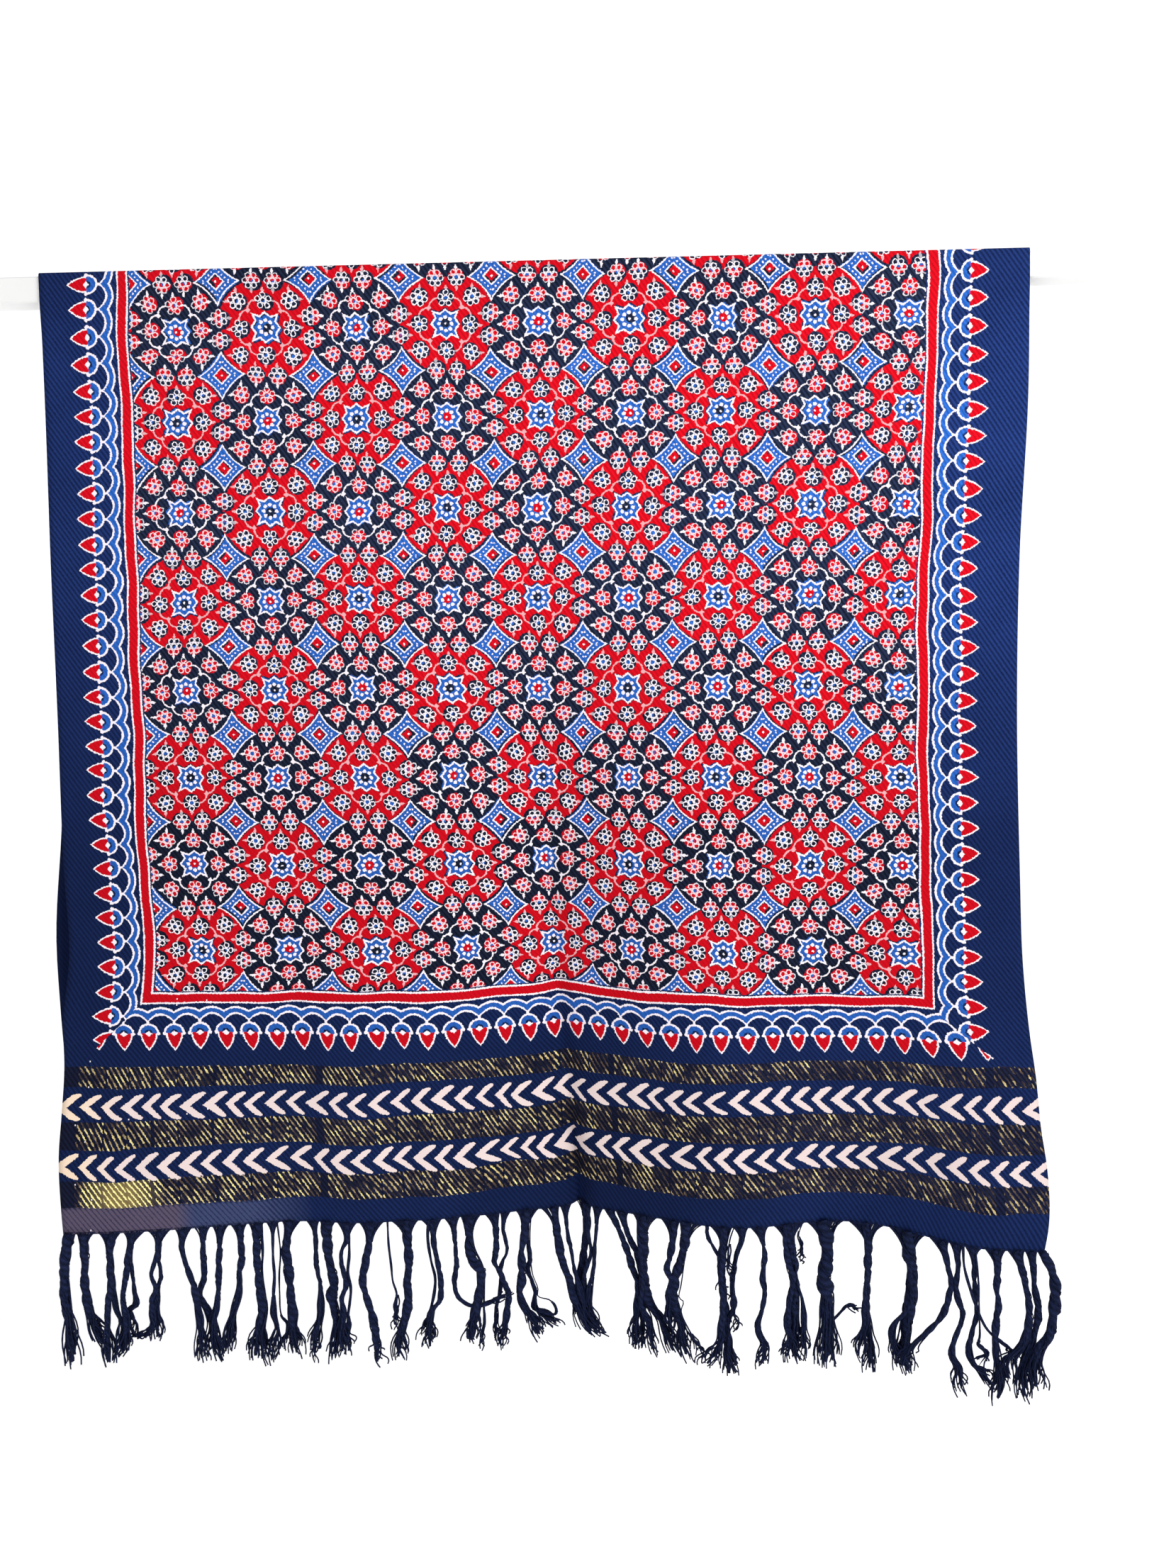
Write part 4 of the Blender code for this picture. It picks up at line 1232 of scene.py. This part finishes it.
for n, (place, neck, thick, brushed, points) in enumerate(STRANDS):
    root = hem_point(place)
    layer = (2.2 if n % 2 else -2.2) + chance.uniform(-0.8, 0.8)
    route = [(0, 0), *points] if neck else list(points)
    line = []
    for aside, drop in route:
        settle = float(ease(drop / 30))
        line.append(root + (aside + chance.uniform(-0.7, 0.7) * settle, layer * settle, -drop))
    line, run_down = smooth_path(line, 2.4)
    brush_from = run_down[-1] * (1 - brushed / len(points)) - 2
    left = np.clip((run_down[-1] - run_down) / max(run_down[-1] - brush_from, 1.0), 0, 1)
    swell = 1 + 0.12 * np.sin(run_down / 7.3 + n) + 0.09 * np.sin(run_down / 2.9 + 2 * n)
    body = 1.06 * thick * swell * (0.24 + 0.76 * left ** 0.8)
    turn = chance.uniform(0, math.tau)
    pitch = PLY_PITCH * chance.uniform(0.8, 1.3)
    if thick < THIN:
        ropes.tube(line, body * 0.48, 6, phase=turn)
    else:
        for ply in (0, math.pi):
            angle = turn + ply + math.tau * run_down / pitch
            ropes.tube(line + beside(0.17 * body, angle), body * 0.37, 8, phase=turn)
        for k in range(2 + round(thick * 0.45)):
            angle = turn + k * 1.9 + math.tau * run_down / (pitch * chance.uniform(0.8, 1.4))
            lift = 1 + 0.16 * np.sin(run_down / chance.uniform(3.5, 9) + k)
            yarn = line + beside(0.44 * body * lift, angle)
            loose.tube(yarn, np.full(len(yarn), YARN_RADIUS), 3, phase=k)

    if neck >= LEAST_NECK:
        at = necks.index(place)
        before = necks[at - 1] if at else -3
        after = necks[at + 1] if at + 1 < len(necks) else CLOTH_WIDTH + 3
        to_left = min((place - before) * 0.52, neck * 0.9 + 2)
        to_right = min((after - place) * 0.52, neck * 0.9 + 2)
        in_neck = round((to_left + to_right) / 0.8)
        for k in range(in_neck):
            share = (k + 0.5) / in_neck * 2 - 1
            start = hem_point(place + share * (to_left if share < 0 else to_right)) + (0, 0, 1.5)
            gather = (8 + 0.55 * max(to_left, to_right)) * chance.uniform(0.9, 1.2)
            s = np.linspace(0, 1, 8)
            middle = read_path(gather * s, run_down, line)
            middle[:, 0] += share * thick * 0.42
            close = (1 - (1 - s) ** 2.0) ** 0.9
            fan = start[None, :] * (1 - close)[:, None] + middle * close[:, None]
            fan[:, 2] = start[2] - (start[2] - middle[-1, 2]) * s
            fan[:, 1] += close * chance.uniform(-0.3, 0.3) * thick
            loose.tube(fan, np.full(8, YARN_RADIUS) * chance.uniform(0.9, 1.3), 3, phase=share)

    loose_ends = 9 + round(2.4 * thick) if brushed > 1 else 5 + round(1.5 * thick)
    for _ in range(loose_ends):
        begin = brush_from - chance.uniform(0, 12)
        reach = run_down[-1] + chance.uniform(-9, 4)
        s = np.linspace(0, 1, 14)
        at = np.minimum(begin + (reach - begin) * s, run_down[-1])
        tail = read_path(at, run_down, line)
        beyond = np.clip(begin + (reach - begin) * s - run_down[-1], 0, None)
        last_step = line[-1] - line[-2]
        tail += beyond[:, None] * (last_step / np.linalg.norm(last_step))
        angle = chance.uniform(0, math.tau)
        spread = chance.uniform(0.1, 1.0) * (thick * 0.75 + 3.0)
        curl = chance.uniform(0.8, 3.0)
        tail[:, 0] += spread * math.cos(angle) * (0.25 + 0.75 * s) + curl * np.sin(9 * s + angle) * s
        tail[:, 1] += spread * math.sin(angle) * (0.3 + 0.5 * s) + curl * np.cos(5 * s + angle) * s
        tail[:, 2] += 0.6 * curl * np.sin(9 * s + 2 * angle) * s
        loose.tube(tail, YARN_RADIUS * (1.45 - 0.35 * s), 3, phase=angle)

tassels = ropes.build("twisted_tassels", indigo_yarn)
yarns = loose.build("loose_warp_yarns", indigo_yarn)

# %% [markdown]
# ## The rail
# A planed softwood bar under white satin paint. The CAD bar has the right shape already, so
# only its finish changes: off-white, with the faint long ripples that a brush leaves.

# %% Painted pine
paint, tree, shader = new_material("white satin paint on pine")
object_place = put(tree, "TexCoord").outputs["Object"]
brushed = put(tree, "Mapping", object_place, None, None, (14.0, 500.0, 500.0))
ripple = put(tree, "TexNoise", brushed, 1.0, 3.0)
worn = put(tree, "TexNoise", object_place, 18.0, 3.0)
paint_tone = put(tree, "Mix", worn, hex_colour("#EDEDEB"), hex_colour("#F8F8F7"), data_type="RGBA")
paint_rough = put(tree, "MULTIPLY_ADD", ripple, 0.16, 0.3)
paint_bump = put(tree, "Bump", 0.25, 0.0002, None, ripple)
dress(shader, {
    "Base Color": paint_tone, "Roughness": paint_rough, "Normal": paint_bump, "IOR": 1.5,
})
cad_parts["rail"].data.materials.clear()
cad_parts["rail"].data.materials.append(paint)

# %% [markdown]
# ## Light, floor and camera
# Plain soft light, so that the dye colours show as they are. The floor is a roll of pale
# paper that bends up into a backdrop, so no edge shows behind the cloth. It glows a little,
# as paper does that has lamps of its own. One large lamp stands before the cloth to the upper
# right, and a weak one fills from the left.

# %% Paper sweep and light
FLOOR_DROP = 1.15
SWEEP_FRONT = -7.0
SWEEP_BACK = 3.4
SWEEP_TOP = 6.0
SWEEP_BEND = 1.6

bpy.ops.object.select_all(action="DESELECT")
bpy.ops.mesh.primitive_plane_add(size=1, location=(-0.5, (SWEEP_FRONT + SWEEP_BACK) / 2, -FLOOR_DROP))
sweep = bpy.context.object
sweep.name = "paper_sweep"
sweep.scale = (14, SWEEP_BACK - SWEEP_FRONT, 1)
bpy.ops.object.transform_apply(location=True, scale=True)
for kind in (sweep.data.polygons, sweep.data.edges, sweep.data.vertices):
    kind.foreach_set("select", [False] * len(kind))
for point in sweep.data.vertices:
    point.select = point.co.y > SWEEP_BACK - 0.01
for edge in sweep.data.edges:
    edge.select = all(sweep.data.vertices[i].select for i in edge.vertices)
bpy.ops.object.mode_set(mode="EDIT")
bpy.ops.mesh.select_mode(type="EDGE")
bpy.ops.mesh.extrude_region_move(TRANSFORM_OT_translate={"value": (0, 0, SWEEP_TOP + FLOOR_DROP)})
bpy.ops.object.mode_set(mode="OBJECT")
for edge in sweep.data.edges:
    ends = [sweep.data.vertices[i].co for i in edge.vertices]
    edge.select = all(end.y > SWEEP_BACK - 0.01 and end.z < 0 for end in ends)
bpy.ops.object.mode_set(mode="EDIT")
bpy.ops.mesh.bevel(offset=SWEEP_BEND, segments=24)
bpy.ops.object.mode_set(mode="OBJECT")
bpy.ops.object.shade_smooth()
paper, tree, shader = new_material("evenly lit white paper")
dress(shader, {
    "Base Color": hex_colour("#F8F8F8"), "Roughness": 1.0,
    "Emission Color": hex_colour("#FFFFFF"), "Emission Strength": 0.42,
})
sweep.data.materials.append(paper)
print("sweep faces:", len(sweep.data.polygons))

world = bpy.data.worlds.new("soft daylight")
world.use_nodes = True
dress(world.node_tree.nodes["Background"], {"Color": hex_colour("#FDFDFF"), "Strength": 0.45})
bpy.context.scene.world = world

LAMPS = [
    # name, place, size, power
    ("key", (0.9, -1.5, 1.1), 1.2, 38),
    ("fill", (-1.7, -1.9, -0.1), 1.4, 3),
]
for name, spot_at, size, power in LAMPS:
    bpy.ops.object.light_add(type="AREA", location=spot_at)
    lamp = bpy.context.object
    lamp.name = name
    lamp.data.size = size
    lamp.data.energy = power
    lamp.visible_camera = False
    aim = np.array((-0.5, 0.0, -0.4)) - np.array(spot_at)
    lamp.rotation_euler = (
        math.atan2(math.hypot(aim[0], aim[1]), -aim[2]), 0.0, math.atan2(-aim[0], aim[1]),
    )
bpy.context.scene.view_settings.view_transform = "Standard"

# %% [markdown]
# The camera's place and angle were found from the print itself: the medallions are a flat
# grid of known pitch, so their corners in the photograph give the view that shows them so.

# %% The camera at the photograph's angle
CAMERA_PLACE = (-0.4285, -0.852, -0.290)
CAMERA_YAW = math.radians(2.4)
CAMERA_PITCH = math.radians(4.4)
CAMERA_ROLL = math.radians(-0.6)
CAMERA_FOCAL = 27.03

bpy.ops.object.camera_add(location=CAMERA_PLACE)
camera = bpy.context.object
camera.name = "camera"
ahead = np.array([
    -math.sin(CAMERA_YAW) * math.cos(CAMERA_PITCH),
    math.cos(CAMERA_YAW) * math.cos(CAMERA_PITCH),
    -math.sin(CAMERA_PITCH),
])
level = np.array([math.cos(CAMERA_YAW), math.sin(CAMERA_YAW), 0.0])
upright = np.cross(level, ahead)
right_hand = math.cos(CAMERA_ROLL) * level + math.sin(CAMERA_ROLL) * upright
overhead = -math.sin(CAMERA_ROLL) * level + math.cos(CAMERA_ROLL) * upright
turned_to = np.eye(4)
turned_to[:3, 0] = right_hand
turned_to[:3, 1] = overhead
turned_to[:3, 2] = -ahead
turned_to[:3, 3] = CAMERA_PLACE
camera.matrix_world = Matrix(turned_to)
camera.data.sensor_width = 36
camera.data.lens = CAMERA_FOCAL
camera.data.clip_start = 0.01
bpy.context.scene.camera = camera

# %% [markdown]
# ## Hand over
# The cloth stands for the stole of the frame and its yarns for the fringe, whose pieces in the
# frame are hidden, and all of them ride on the one body.

# %% Bodies, and the frame's pieces hidden
for piece, node, finish in (
    (stole, "stole", "cloth"), (tassels, "fringe", "yarn"), (yarns, "fringe", "yarn"),
):
    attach(piece, "root")
    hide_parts(node)
